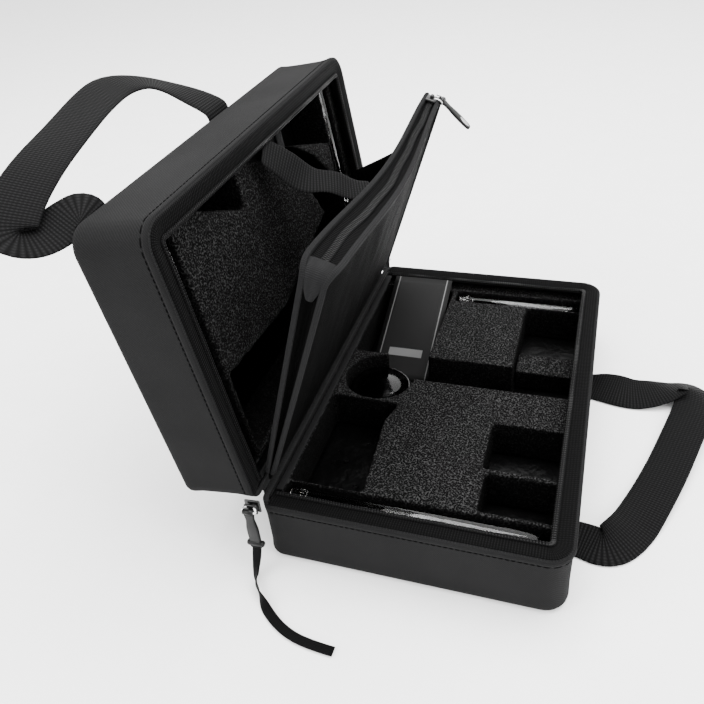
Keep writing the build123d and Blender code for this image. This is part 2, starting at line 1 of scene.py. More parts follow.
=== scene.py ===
"""Small zip-round carry case standing open: padded shells, foam trays, divider pouch and webbing handles.

Pieces are made in millimetres in the case's own trays and then placed in metres. In a tray z is up from its
big face, x runs from the hinge side at -80 to the free side at +80, and y from the front at -125 to the back.
"""

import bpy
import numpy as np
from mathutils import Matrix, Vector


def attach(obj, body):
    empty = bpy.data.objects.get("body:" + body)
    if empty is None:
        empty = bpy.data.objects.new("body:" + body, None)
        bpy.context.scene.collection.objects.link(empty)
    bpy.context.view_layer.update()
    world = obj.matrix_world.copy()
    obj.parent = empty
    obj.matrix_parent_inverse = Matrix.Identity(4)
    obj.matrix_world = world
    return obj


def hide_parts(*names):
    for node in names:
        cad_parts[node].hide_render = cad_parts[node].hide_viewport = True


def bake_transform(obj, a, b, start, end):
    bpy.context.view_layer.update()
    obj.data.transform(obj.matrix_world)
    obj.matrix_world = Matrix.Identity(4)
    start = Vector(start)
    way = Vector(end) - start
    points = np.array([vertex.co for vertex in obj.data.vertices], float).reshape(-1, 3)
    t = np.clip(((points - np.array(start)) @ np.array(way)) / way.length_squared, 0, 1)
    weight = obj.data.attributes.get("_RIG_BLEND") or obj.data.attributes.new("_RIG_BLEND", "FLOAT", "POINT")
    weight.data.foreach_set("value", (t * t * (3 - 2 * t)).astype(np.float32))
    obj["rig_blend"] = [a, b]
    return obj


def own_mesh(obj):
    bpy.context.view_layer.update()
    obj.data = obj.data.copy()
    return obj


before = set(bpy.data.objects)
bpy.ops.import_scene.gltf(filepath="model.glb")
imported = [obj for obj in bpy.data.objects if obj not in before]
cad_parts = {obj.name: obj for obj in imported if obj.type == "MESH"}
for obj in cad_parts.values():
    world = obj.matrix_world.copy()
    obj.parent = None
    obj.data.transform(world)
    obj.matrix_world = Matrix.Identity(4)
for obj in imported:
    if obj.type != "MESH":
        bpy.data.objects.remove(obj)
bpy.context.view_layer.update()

import math
import bmesh
import bpy
from mathutils import Matrix, Vector, noise

MM = 0.001
HALF_WIDTH, HALF_LENGTH = 80.0, 125.0
BASE_DEPTH, LID_DEPTH = 43.0, 44.0
RIM_DROP = 1.2
WALL = 3.0
HINGE_CORNER, FREE_CORNER, FACE_EDGE = 8.0, 12.5, 4.8
HINGE_Z = BASE_DEPTH
TRAY_FLOOR = 9.0
FOAM_RECESS = 9.0
FOAM_INSET = 4.2
LID_OPEN, DIVIDER_OPEN = 98, 72  # degrees up from the base's rim
ALONG, UP = Vector((0, 1, 0)), Vector((0, 0, 1))

hinge_line = Vector((-HALF_WIDTH * MM, 0, HINGE_Z * MM))


def swung(degrees):
    """Turn about the hinge line, opening by that many degrees."""
    about = Matrix.Rotation(math.radians(-degrees), 4, "Y")
    return Matrix.Translation(hinge_line) @ about @ Matrix.Translation(-hinge_line)


IN_BASE = Matrix.Scale(MM, 4)
turned_over = Matrix.Translation((0, 0, (BASE_DEPTH + LID_DEPTH) * MM)) @ Matrix.Scale(-1, 4, UP)
IN_LID = swung(LID_OPEN) @ turned_over @ IN_BASE
IN_DIVIDER = swung(DIVIDER_OPEN) @ IN_BASE
TRAYS = (("base", BASE_DEPTH, IN_BASE), ("lid", LID_DEPTH, IN_LID))


def add_object(name, data):
    made = bpy.data.objects.new(name, data)
    bpy.context.scene.collection.objects.link(made)
    return made


# Camera and light

camera_data = bpy.data.cameras.new("camera")
camera_data.lens = 37.02
camera_data.sensor_width = 36.0
camera_data.clip_start = 0.01
camera = add_object("camera", camera_data)
look = Matrix(((0.9487869, -0.11795101, 0.29307162), (0.30416802, 0.59170584, -0.7465695),
               (-0.08535356, 0.79747838, 0.59727967)))
camera.matrix_world = Matrix.Translation((0.06898, -0.34667, 0.32903)) @ look.to_4x4()
bpy.context.scene.camera = camera


def soft_light(name, place, target, size, power):
    lamp = bpy.data.lights.new(name, "AREA")
    lamp.shape = "RECTANGLE"
    lamp.size, lamp.size_y = size
    lamp.energy = power
    holder = add_object(name, lamp)
    aim = (Vector(target) - Vector(place)).to_track_quat("-Z", "Y")
    holder.matrix_world = Matrix.Translation(place) @ aim.to_matrix().to_4x4()


soft_light("overhead_softbox", (0.1, 0.25, 1.3), (0, 0, 0), (1.4, 1.0), 50.0)
soft_light("left_softbox", (-0.9, -0.7, 0.8), (0, 0, 0.05), (0.9, 0.9), 20.0)
soft_light("right_softbox", (1.1, -0.3, 0.7), (0, 0, 0.05), (0.8, 0.8), 16.0)

world = bpy.data.worlds.new("studio")
world.use_nodes = True
world.node_tree.nodes["Background"].inputs["Color"].default_value = (1.0, 1.0, 1.0, 1)
world.node_tree.nodes["Background"].inputs["Strength"].default_value = 2.2
bpy.context.scene.world = world


# Finishes

class Finish:
    """One material, with short ways to add the nodes that give it its surface."""

    def __init__(self, name, colour, roughness, **sockets):
        self.material = bpy.data.materials.new(name)
        self.material.use_nodes = True
        self.tree = self.material.node_tree
        self.shader = self.tree.nodes["Principled BSDF"]
        self.place = self.node("ShaderNodeTexCoord")
        self.put(self.shader.inputs["Base Color"], (*colour, 1))
        self.put(self.shader.inputs["Roughness"], roughness)
        for socket, value in sockets.items():
            self.put(self.shader.inputs[socket.replace("_", " ").title().replace("Ior", "IOR")], value)

    def put(self, socket, value):
        if isinstance(value, bpy.types.NodeSocket):
            self.tree.links.new(value, socket)
        else:
            socket.default_value = value

    def node(self, kind, values=None, **settings):
        made = self.tree.nodes.new(kind)
        for key, value in settings.items():
            setattr(made, key, value)
        for socket, value in (values or {}).items():
            self.put(made.inputs[socket], value)
        return made

    def maths(self, operation, a, b=0.0):
        return self.node("ShaderNodeMath", {0: a, 1: b}, operation=operation).outputs[0]

    def cloth(self):
        """Across and along the cloth in millimetres."""
        parts = self.node("ShaderNodeSeparateXYZ", {0: self.place.outputs["UV"]})
        return parts.outputs[0], parts.outputs[1]

    def ridges(self, distance, pitch):
        turned = self.maths("SINE", self.maths("MULTIPLY", distance, 2 * math.pi / pitch))
        half = self.maths("MULTIPLY", turned, 0.5)
        return self.maths("ADD", half, 0.5)

    def speckle(self, scale, detail=3.0, place="Object", roughness=0.6):
        values = {"Scale": scale, "Detail": detail, "Roughness": roughness}
        return self.node("ShaderNodeTexNoise", {"Vector": self.place.outputs[place], **values}).outputs[0]

    def cells(self, scale):
        values = {"Vector": self.place.outputs["Object"], "Scale": scale}
        return self.node("ShaderNodeTexVoronoi", values).outputs["Distance"]

    def ramp(self, share, *stops):
        """Colours by share, each stop a position and a grey or a colour."""
        made = self.node("ShaderNodeValToRGB", {0: share})
        points = made.color_ramp.elements
        while len(points) < len(stops):
            points.new(0.5)
        for point, (position, colour) in zip(points, stops):
            point.position = position
            point.color = (*colour, 1) if isinstance(colour, tuple) else (colour, colour, colour, 1)
        return made.outputs[0]

    def tint(self, base, factor_low, factor_high, share):
        """Multiply a colour by something between two factors."""
        factor = self.node("ShaderNodeMapRange", {0: share, 1: 0.0, 2: 1.0, 3: factor_low, 4: factor_high})
        mixed = self.node("ShaderNodeVectorMath", {0: base, 1: factor.outputs[0]}, operation="MULTIPLY")
        return mixed.outputs[0]

    def colour(self, value):
        self.put(self.shader.inputs["Base Color"], value)

    def rough(self, share, low, high):
        ranged = self.node("ShaderNodeMapRange", {0: share, 1: 0.0, 2: 1.0, 3: low, 4: high})
        self.put(self.shader.inputs["Roughness"], ranged.outputs[0])

    def relief(self, height, strength, distance, under=None):
        values = {"Height": height, "Strength": strength, "Distance": distance}
        if under is not None:
            values["Normal"] = under
        made = self.node("ShaderNodeBump", values)
        self.put(self.shader.inputs["Normal"], made.outputs[0])
        return made.outputs[0]


def cooler(grey):
    """A grey with a trace of blue, as black dyed cloth has."""
    return (grey, grey, grey * 1.02)


def woven(name, grey, pitch, roughness=0.85, sheen=0.015, contrast=0.35):
    """Twill cloth: fine slanting ribs with thread flecks."""
    finish = Finish(name, (grey, grey, grey), roughness, sheen_weight=sheen, sheen_roughness=0.5,
                    specular_ior_level=0.03)
    across, along = finish.cloth()
    slant = finish.ridges(finish.maths("ADD", across, along), pitch)
    threads = finish.ridges(finish.maths("SUBTRACT", across, along), pitch * 0.55)
    weave = finish.maths("MULTIPLY", slant, threads)
    fleck = finish.speckle(0.9, 4.0, "UV", 0.75)
    cloud = finish.speckle(22.0, 2.0)
    share = finish.maths("ADD", finish.maths("MULTIPLY", weave, 0.5), finish.maths("MULTIPLY", fleck, 0.5))
    base = finish.ramp(cloud, (0.3, cooler(grey * 0.88)), (0.7, cooler(grey * 1.12)))
    finish.colour(finish.tint(base, 1 - contrast, 1 + contrast * 1.6, share))
    finish.rough(fleck, roughness - 0.08, min(roughness + 0.08, 1.0))
    finish.relief(share, 0.5, 0.0003)
    return finish.material


def ribbed(name, grey, pitch, roughness, crest_glint=0.0, contrast=0.5):
    """Narrow tape or webbing: ribs across its length, with rows of raised threads whose crests are painted
    brighter as a highlight.
    """
    finish = Finish(name, (grey, grey, grey), roughness, sheen_weight=0.01, sheen_roughness=0.4,
                    specular_ior_level=0.03)
    across, along = finish.cloth()
    ribs = finish.ridges(along, pitch)
    rows = finish.ridges(across, pitch * 1.15)
    fleck = finish.speckle(1.2, 3.0, "UV", 0.7)
    weave = finish.maths("MULTIPLY", ribs, finish.maths("ADD", finish.maths("MULTIPLY", rows, 0.6), 0.4))
    share = finish.maths("ADD", finish.maths("MULTIPLY", weave, 0.7), finish.maths("MULTIPLY", fleck, 0.3))
    # Painted highlight: the extra factor makes the raised thread crests up to several times lighter.
    finish.colour(finish.tint((grey, grey, grey * 1.03), 1 - contrast, 1 + contrast * 1.5 + crest_glint, share))
    finish.rough(share, roughness + 0.08, roughness - 0.12)
    finish.relief(share, 0.7, 0.0005)
    return finish.material


def foam_finish(name, grey, bright, speck_scale):
    """Cut open-cell foam: dark pores between glinting cell walls, with painted shade: faces turned away from
    the tray's top are darkened in colour.
    """
    finish = Finish(name, (grey, grey, grey), 0.9, specular_ior_level=0.03)
    pores = finish.cells(speck_scale)
    grain = finish.speckle(speck_scale * 0.75, 4.0, "Object", 0.8)
    cloud = finish.speckle(35.0, 3.0)
    share = finish.maths("MULTIPLY", grain, finish.maths("ADD", pores, 0.35))
    speck = finish.ramp(share, (0.26, grey * 0.35), (0.42, grey), (0.62, bright))
    # Painted shade: faces that do not face the tray's top, such as the recess walls, are darkened to 0.22 of
    # the top's colour.
    unshaded_top = finish.node("ShaderNodeAttribute", attribute_name="unshaded_top").outputs["Fac"]
    clouded = finish.tint(speck, 0.8, 1.2, cloud)
    finish.colour(finish.tint(clouded, 0.22, 1.0, unshaded_top))
    finish.relief(share, 0.9, 0.0012)
    return finish.material


def coated(name, grey, roughness):
    """Smooth coated lining cloth with a slight gloss."""
    finish = Finish(name, (grey, grey, grey), roughness, specular_ior_level=0.12)
    across, along = finish.cloth()
    threads = finish.maths("MULTIPLY", finish.ridges(across, 0.7), finish.ridges(along, 0.7))
    folds = finish.speckle(60.0, 3.0)
    finish.colour(finish.tint((grey, grey, grey * 1.03), 0.75, 1.3, folds))
    finish.rough(folds, roughness - 0.1, roughness + 0.12)
    first = finish.relief(folds, 0.35, 0.004)
    finish.relief(threads, 0.25, 0.0003, first)
    return finish.material


def moulded(name, grey, roughness, coat=0.0):
    """Moulded plastic with a faint grain and rubbed spots."""
    finish = Finish(name, (grey, grey, grey), roughness, coat_weight=coat, coat_roughness=0.15,
                    specular_ior_level=0.15)
    grain = finish.speckle(2500.0, 2.0)
    cloud = finish.speckle(160.0, 3.0)
    finish.colour(finish.tint(cooler(grey), 0.75, 1.35, cloud))
    finish.rough(cloud, roughness - 0.07, roughness + 0.1)
    finish.relief(grain, 0.15, 0.0002)
    return finish.material


def clear_finish(name, clear):
    """Clear moulded plastic, faintly smeared."""
    finish = Finish(name, (clear, clear, clear), 0.08, transmission_weight=1.0, ior=1.46,
                    specular_ior_level=0.4)
    smear = finish.speckle(120.0, 3.0)
    finish.colour(finish.ramp(smear, (0.35, clear * 0.9), (0.7, clear)))
    finish.rough(smear, 0.04, 0.16)
    finish.relief(smear, 0.04, 0.001)
    return finish.material


def wire_finish():
    finish = Finish("steel_wire", (0.62, 0.62, 0.63), 0.28, metallic=1.0)
    drawn = finish.speckle(900.0, 2.0)
    finish.colour(finish.ramp(drawn, (0.3, 0.45), (0.7, 0.75)))
    finish.rough(drawn, 0.2, 0.38)
    return finish.material


def card_finish():
    """Plain grey card: a light frame line and one light bar, with paper fibre."""
    finish = Finish("grey_card", (0.02, 0.02, 0.02), 0.55, specular_ior_level=0.08)
    fibre = finish.speckle(2.0, 4.0, "UV", 0.7)
    across, along = finish.cloth()
    from_edge = finish.maths("ABSOLUTE", across)
    frame_line = finish.maths("MULTIPLY", finish.maths("GREATER_THAN", from_edge, 17.6),
                              finish.maths("LESS_THAN", from_edge, 18.4))
    from_middle = finish.maths("ABSOLUTE", finish.maths("SUBTRACT", along, 22.0))
    bar = finish.maths("MULTIPLY", finish.maths("LESS_THAN", from_middle, 3.2),
                       finish.maths("LESS_THAN", from_edge, 12.0))
    light = finish.maths("MAXIMUM", frame_line, bar)
    finish.colour(finish.tint(finish.ramp(light, (0.2, 0.006), (0.8, 0.10)), 0.85, 1.15, fibre))
    finish.rough(fibre, 0.45, 0.65)
    finish.relief(fibre, 0.15, 0.0002)
    return finish.material


def board_finish():
    finish = Finish("stiffening_board", (0.005, 0.005, 0.005), 0.7, specular_ior_level=0.1)
    fibre = finish.speckle(800.0, 4.0)
    finish.colour(finish.ramp(fibre, (0.3, 0.003), (0.7, 0.007)))
    finish.relief(fibre, 0.3, 0.0003)
    return finish.material


outer_cloth = woven("outer_cloth", 0.0078, 1.5, contrast=0.8)
welt_cloth = woven("welt_cloth", 0.0070, 1.2, contrast=0.7)
panel_cloth = woven("panel_cloth", 0.0004, 0.8, 0.8, 0.0)
binding_cloth = ribbed("binding_cloth", 0.0085, 0.8, 0.75, contrast=0.3)
# The tape and strap cloths get painted highlights on their thread crests.
tape_cloth = ribbed("tape_cloth", 0.0008, 1.4, 0.75, crest_glint=3.0, contrast=0.85)
strap_cloth = ribbed("strap_cloth", 0.0012, 1.7, 0.65, crest_glint=5.0, contrast=0.85)
ribbon_cloth = ribbed("ribbon_cloth", 0.002, 0.6, 0.5, contrast=0.3)
thread = ribbed("thread", 0.004, 0.5, 0.6)
dark_thread = ribbed("dark_thread", 0.0006, 0.5, 0.7)
lining_cloth = coated("lining_cloth", 0.0010, 0.32)
tray_foam = foam_finish("tray_foam", 0.0030, 0.034, 1100.0)
floor_foam = coated("floor_foam", 0.0010, 0.3)
coil_nylon = moulded("coil_nylon", 0.003, 0.38)
pot_plastic = moulded("pot_plastic", 0.0015, 0.25, 0.3)
pull_plastic = moulded("pull_plastic", 0.0025, 0.36)
slider_metal = moulded("slider_metal", 0.003, 0.3, 0.4)
clear_plastic = clear_finish("clear_plastic", 0.4)
smoked_plastic = clear_finish("smoked_plastic", 0.05)
steel_wire = wire_finish()
grey_card = card_finish()
board_card = board_finish()


# Ways of making pieces

def set_out(point, sideways, up):
    """A place whose x runs sideways, y up and z ahead."""
    turn = Matrix((sideways, up, sideways.cross(up))).transposed()
    return Matrix.Translation(point) @ turn.to_4x4()


def measures(bm):
    layers = bm.verts.layers.float
    return (layers.get("along") or layers.new("along")), (layers.get("across") or layers.new("across"))


def sweep(bm, profile, places, closed=True, looped=False, capped=True):
    """Carry a row of points, given sideways and up, through a row of places."""
    along, across = measures(bm)
    row = []
    girth = 0.0
    for number, (a, b) in enumerate(profile):
        if number:
            girth += (Vector((a, b)) - Vector(profile[number - 1])).length
        corner = bm.verts.new(places[0] @ Vector((a, b, 0)))
        corner[across] = girth
        row.append(corner)
    pairs = list(zip(row, row[1:])) + ([(row[-1], row[0])] if closed else [])
    edges = first = [bm.edges.new(pair) for pair in pairs]
    if closed and capped and not looped:
        bm.faces.new(row)
    travelled = 0.0
    for before, here in zip(places, places[1:] + (places[:1] if looped else [])):
        made = bmesh.ops.extrude_edge_only(bm, edges=edges)["geom"]
        moved = set(v for v in made if isinstance(v, bmesh.types.BMVert))
        edges = [e for e in made if isinstance(e, bmesh.types.BMEdge) and set(e.verts) <= moved]
        bmesh.ops.transform(bm, matrix=here @ before.inverted(), verts=list(moved))
        travelled += (here.translation - before.translation).length
        for corner in moved:
            corner[along] = travelled
    if looped:
        bmesh.ops.remove_doubles(bm, verts=bm.verts, dist=0.001)
    elif closed and capped:
        bmesh.ops.holes_fill(bm, edges=edges, sides=0)
    return travelled


def cloth_map(bm):
    """Give the faces the cloth's along and across in millimetres, or box-wise places."""
    sheet_map = bm.loops.layers.uv.get("cloth") or bm.loops.layers.uv.new("cloth")
    layers = bm.verts.layers.float
    along, across = layers.get("along"), layers.get("across")
    bm.normal_update()
    for face in bm.faces:
        facing = [abs(n) for n in face.normal]
        widest = facing.index(max(facing))
        for loop in face.loops:
            here = loop.vert
            if along:
                loop[sheet_map].uv = (here[across], here[along])
            else:
                loop[sheet_map].uv = [here.co[axis] for axis in range(3) if axis != widest]


def finish_piece(bm, name, place, finish, body=None, stands_for=(), closed=False):
    """Turn a shape into a placed piece."""
    cloth_map(bm)
    bm.transform(place)
    if closed:
        bmesh.ops.recalc_face_normals(bm, faces=bm.faces)
    elif place.determinant() < 0:
        bmesh.ops.reverse_faces(bm, faces=bm.faces)
    mesh = bpy.data.meshes.new(name)
    bm.to_mesh(mesh)
    bm.free()
    mesh.polygons.foreach_set("use_smooth", [True] * len(mesh.polygons))
    mesh.materials.append(finish)
    piece = add_object(name, mesh)
    if body:
        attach(piece, body)
    if stands_for:
        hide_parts(*stands_for)
    return piece


def thicken(piece, thickness, offset=-1.0):
    made = piece.modifiers.new("thickness", "SOLIDIFY")
    made.thickness = thickness * MM
    made.offset = offset
    made.use_even_offset = False
    return piece


def round_off(piece):
    made = piece.modifiers.new("rounding", "SUBSURF")
    made.levels = made.render_levels = 1
    return piece


def sink_in(piece):
    """Apply the piece's modifiers, so that what follows bends the finished mesh."""
    shown = bpy.context.evaluated_depsgraph_get()
    whole = bpy.data.meshes.new_from_object(piece.evaluated_get(shown))
    piece.modifiers.clear()
    piece.data = whole
    return piece


def near(value, target, reach=0.01):
    return abs(value - target) < reach


def cut_across(bm, axis, places):
    """Cut straight through the shape at each place along an axis."""
    normal = Vector([1.0 if n == axis else 0.0 for n in range(3)])
    for place in places:
        everything = list(bm.verts) + list(bm.edges) + list(bm.faces)
        bmesh.ops.bisect_plane(bm, geom=everything, plane_co=normal * place, plane_no=normal, dist=0.0001)


def steps(low, high, size):
    count = max(1, round((high - low) / size))
    return [low + (high - low) * n / count for n in range(count + 1)]


def smooth_line(points, resolution):
    """Points along a smooth curve guided by a few given ones."""
    curve = bpy.data.curves.new("guide", "CURVE")
    curve.dimensions = "3D"
    spline = curve.splines.new("NURBS")
    spline.points.add(len(points) - 1)
    for point, place in zip(spline.points, points):
        point.co = (*place, 1)
    spline.order_u = 3
    spline.use_endpoint_u = True
    spline.resolution_u = resolution
    holder = add_object("guide", curve)
    line = bpy.data.meshes.new_from_object(holder)
    found = [v.co.copy() for v in line.vertices]
    bpy.data.objects.remove(holder)
    bpy.data.curves.remove(curve)
    bpy.data.meshes.remove(line)
    return found


def even(points, size):
    """Points at even distances along a line."""
    kept = [points[0].copy()]
    left = size
    for a, b in zip(points, points[1:]):
        run = (b - a).length
        gone = 0.0
        while run - gone >= left:
            gone += left
            kept.append(a.lerp(b, gone / run))
            left = size
        left -= run - gone
    if (kept[-1] - points[-1]).length > size * 0.3:
        kept.append(points[-1].copy())
    return kept


def heading(points, n):
    return (points[min(n + 1, len(points) - 1)] - points[max(n - 1, 0)]).normalized()


def laid_along(points, facings):
    """Places along a line whose up follows a facing at each point."""
    places = []
    for n, (point, facing) in enumerate(zip(points, facings)):
        ahead = heading(points, n)
        sideways = facing.cross(ahead).normalized()
        places.append(set_out(point, sideways, ahead.cross(sideways)))
    return places


def strap_profile(width, thickness, crown=0.0):
    """A flat band's section with rounded edges."""
    half, thin = width / 2, thickness / 2
    soft = min(thin * 0.8, 0.6)
    crest = [(half * share, thin + crown) for share in (-0.5, 0, 0.5)]
    sole = [(half * share, -thin) for share in (0.5, 0, -0.5)]
    right = [(half - soft, thin), (half, 0), (half - soft, -thin)]
    left = [(-half + soft, -thin), (-half, 0)]
    return [(-half + soft, thin)] + crest + right + sole + left


def rod_profile(radius, sides=8):
    turns = [2 * math.pi * n / sides for n in range(sides)]
    return [(radius * math.cos(turn), radius * math.sin(turn)) for turn in turns]


def spun(bm, profile, place, steps_round=32):
    """Spin a profile, given as distance out and height, about its own upright axis."""
    corners = [bm.verts.new((out, 0, height)) for out, height in profile]
    edges = [bm.edges.new(pair) for pair in zip(corners, corners[1:])]
    before = set(bm.verts) - set(corners)
    bmesh.ops.spin(bm, geom=corners + edges, cent=(0, 0, 0), axis=(0, 0, 1), dvec=(0, 0, 0),
                   angle=2 * math.pi, steps=steps_round, use_merge=True, use_duplicate=False)
    made = [v for v in bm.verts if v not in before]
    bmesh.ops.remove_doubles(bm, verts=made, dist=0.001)
    made = [v for v in bm.verts if v not in before]
    bmesh.ops.transform(bm, matrix=place, verts=made)


def bevel(bm, edges, offset, segments, clamped=False):
    bmesh.ops.bevel(bm, geom=edges, offset=offset, offset_type="OFFSET", segments=segments, profile=0.5,
                    affect="EDGES", material=-1, clamp_overlap=clamped)


def block(bm, size, place):
    """A block by its size and its middle's place."""
    made = bmesh.ops.create_cube(bm, size=1)["verts"]
    bmesh.ops.transform(bm, matrix=place @ Matrix.Diagonal((*size, 1)), verts=made)
    return made


def soft_block(bm, size, place, rounding):
    made = block(bm, size, place)
    bevel(bm, list({e for v in made for e in v.link_edges}), rounding, 3, True)


def round_upright(bm, x, radius, segments):
    """Round the two upright edges of a tray's outline on one side."""
    bevel(bm, [e for e in bm.edges if all(near(v.co.x, x) for v in e.verts)
               and abs(e.verts[0].co.z - e.verts[1].co.z) > 1], radius, segments)


def at(x, y, z):
    return Matrix.Translation((x, y, z))


def turned(axis, degrees=90):
    return Matrix.Rotation(math.radians(degrees), 4, axis)


# Round the rim

def rim_course(start=-75.0, size=4.0):
    """Points on the case's outline and their outward directions: front, free side and back."""
    course = []

    def straight(a, b, outward):
        for share in steps(0, 1, size / (b - a).length)[:-1]:
            course.append((a.lerp(b, share), outward))

    def corner(centre, first):
        for n in range(10):
            turn = math.radians(first + 9 * n)
            outward = Vector((math.cos(turn), math.sin(turn), 0))
            course.append((centre + outward * FREE_CORNER, outward))

    inner_x, inner_y = HALF_WIDTH - FREE_CORNER, HALF_LENGTH - FREE_CORNER
    straight(Vector((start, -HALF_LENGTH, 0)), Vector((inner_x, -HALF_LENGTH, 0)), Vector((0, -1, 0)))
    corner(Vector((inner_x, -inner_y, 0)), -90)
    straight(Vector((HALF_WIDTH, -inner_y, 0)), Vector((HALF_WIDTH, inner_y, 0)), Vector((1, 0, 0)))
    corner(Vector((inner_x, inner_y, 0)), 0)
    straight(Vector((inner_x, HALF_LENGTH, 0)), Vector((start, HALF_LENGTH, 0)), Vector((0, 1, 0)))
    course.append((Vector((start, HALF_LENGTH, 0)), Vector((0, 1, 0))))
    return course


def rim_places(start=-75.0, size=4.0):
    return [set_out(point, outward, UP) for point, outward in rim_course(start, size)]


# Shells

def shell_form(depth):
    """A tray with rounded corners and a rounded big face, open at the rim."""
    bm = bmesh.new()
    height = depth - RIM_DROP
    block(bm, (2 * HALF_WIDTH, 2 * HALF_LENGTH, height), at(0, 0, height / 2))
    round_upright(bm, -HALF_WIDTH, HINGE_CORNER, 6)
    round_upright(bm, HALF_WIDTH, FREE_CORNER, 8)
    bm.normal_update()
    bmesh.ops.delete(bm, geom=[f for f in bm.faces if f.normal.z > 0.9], context="FACES_ONLY")
    bevel(bm, [e for e in bm.edges if all(near(v.co.z, 0) for v in e.verts)], FACE_EDGE, 5)
    return bm


SEAT_DEPTH = 1.8
HANDLE_ENDS = {"base": (-74.0, 58.0), "lid": (-104.0, 28.0)}
SEWN_LENGTH = 50.0
STRAP_WIDTH, STRAP_THICKNESS = 25.0, 1.7


def shell(body, depth, place):
    bm = shell_form(depth)
    seat_in = HALF_WIDTH - SEWN_LENGTH - 0.4
    seats = HANDLE_ENDS[body]
    seat_sides = [y + side * (STRAP_WIDTH / 2 + gap) for y in seats for side in (-1, 1) for gap in (0.3, 0.6)]
    cut_across(bm, 0, steps(-75, 75, 6.25) + [seat_in, seat_in - 0.4])
    cut_across(bm, 1, steps(-120, 120, 6.0) + seat_sides)
    cut_across(bm, 2, steps(10, depth - 6, 5.0) + [depth - RIM_DROP - 4.4, depth - RIM_DROP - 3.6])
    for corner in bm.verts:
        spot = corner.co
        pull = noise.noise(spot / 34) * 0.45 + noise.noise(spot / 12) * 0.12
        inward = Vector((-spot.x / HALF_WIDTH, -spot.y / HALF_LENGTH, 0))
        if spot.z > 8 and spot.z < depth - 8:
            spot += inward * (0.35 + pull)
        elif spot.z < 1:
            spot.z += 0.3 + pull * 0.5
        in_seat = any(abs(spot.y - y) < STRAP_WIDTH / 2 + 0.45 for y in seats)
        if in_seat and spot.x > seat_in - 0.2 and spot.z < 9:
            spot.z = max(spot.z, SEAT_DEPTH)
    piece = finish_piece(bm, f"{body}_outer", place, outer_cloth, body, [f"{body}_shell"])
    thicken(piece, WALL)


def rim_strip(body, depth, place):
    """The narrow welt sewn round the outside of the rim, with its stitch line below."""
    high = depth - RIM_DROP
    bm = bmesh.new()
    bulge = [(0.0, 3.3), (0.5, 3.2), (0.75, 2.4), (0.7, 1.0), (0.45, 0.1), (0.0, 0.0)]
    sweep(bm, [(out, high - down) for out, down in bulge], rim_places(-74.0))
    finish_piece(bm, f"{body}_welt_strip", place, welt_cloth, body, [f"{body}_welt"],
                 closed=True)
    line = bmesh.new()
    stitch_row(line, rim_places(-74.0, 1.0), 0.05, high - 4.4, 3.0)
    finish_piece(line, f"{body}_welt_stitches", place, dark_thread, body, closed=True)


def stitch_row(bm, places, aside, up, pitch):
    """Short raised threads along a row of places."""
    skip = max(2, round(pitch))
    for n in range(0, len(places) - skip, skip):
        near_end = places[n] @ Vector((aside, up, 0))
        far_end = places[n + skip - 1] @ Vector((aside, up, 0))
        outward = places[n].to_3x3() @ Vector((1, 0, 0))
        lie = laid_along([near_end, (near_end + far_end) / 2 + outward * 0.2, far_end], [outward] * 3)
        sweep(bm, rod_profile(0.28, 5), lie)


def tape_wander(body, along):
    """The slack zip edge's wander up and down, as a share."""
    return noise.noise(Vector((along / 26, 3.0 if body == "lid" else 0.0, 0)))


def zip_edge(body, depth, place):
    """The zip's tape folded in from the rim, and its coil along the free edge."""
    low = depth - RIM_DROP + 0.05
    bm = bmesh.new()
    top = [(-1.0, low + 0.3), (-1.3, low + 0.62), (-3.0, low + 0.6), (-5.0, low + 0.2), (-7.5, low - 0.4),
           (-10.0, low - 0.8), (-12.0, low - 1.1)]
    under = [(a, b - 0.5) for a, b in reversed(top[1:])]
    sweep(bm, top + under, rim_places(-75.0, 3.0))
    along, across = measures(bm)
    for corner in bm.verts:
        share = min(max((corner[across] - 3.0) / 7.0, 0.0), 1.0)
        if corner[across] > 12:
            share = min(max((20.5 - corner[across]) / 7.0, 0.0), 1.0)
        corner.co.z += share * tape_wander(body, corner[along]) * 0.5
    finish_piece(bm, f"{body}_tape", place, tape_cloth, body, [f"{body}_zip_tape"],
                 closed=True)

    teeth = bmesh.new()
    course = rim_places(-73.0, 0.75)
    for n in range(0, len(course) - 1, 2):
        soft_tooth(teeth, course[n] @ at(-10.0, low - 0.35 + tape_wander(body, n * 0.75) * 0.4, 0))
    finish_piece(teeth, f"{body}_coil", place, coil_nylon, body, [f"{body}_zip_coil"],
                 closed=True)
    cord = bmesh.new()
    rails = rim_places(-74.0, 3.0)
    for aside in (-9.35, -10.7):
        lifted = [rail @ at(aside, low + 0.02 + tape_wander(body, n * 3.0) * 0.4, 0)
                  for n, rail in enumerate(rails)]
        sweep(cord, rod_profile(0.3, 6), lifted)
    finish_piece(cord, f"{body}_coil_stitching", place, thread, body, closed=True)


def soft_tooth(bm, spot):
    """One turn of the coil: a short bar across the tape's edge."""
    shape = spot @ at(-0.3, 0.15, 0) @ turned("Y", 12)
    made = block(bm, (2.6, 0.75, 0.8), shape)
    upright = (shape.to_3x3() @ UP).normalized()
    tips = {e for v in made for e in v.link_edges
            if abs((e.verts[0].co - e.verts[1].co).normalized().dot(upright)) > 0.9}
    bevel(bm, list(tips), 0.26, 1, True)


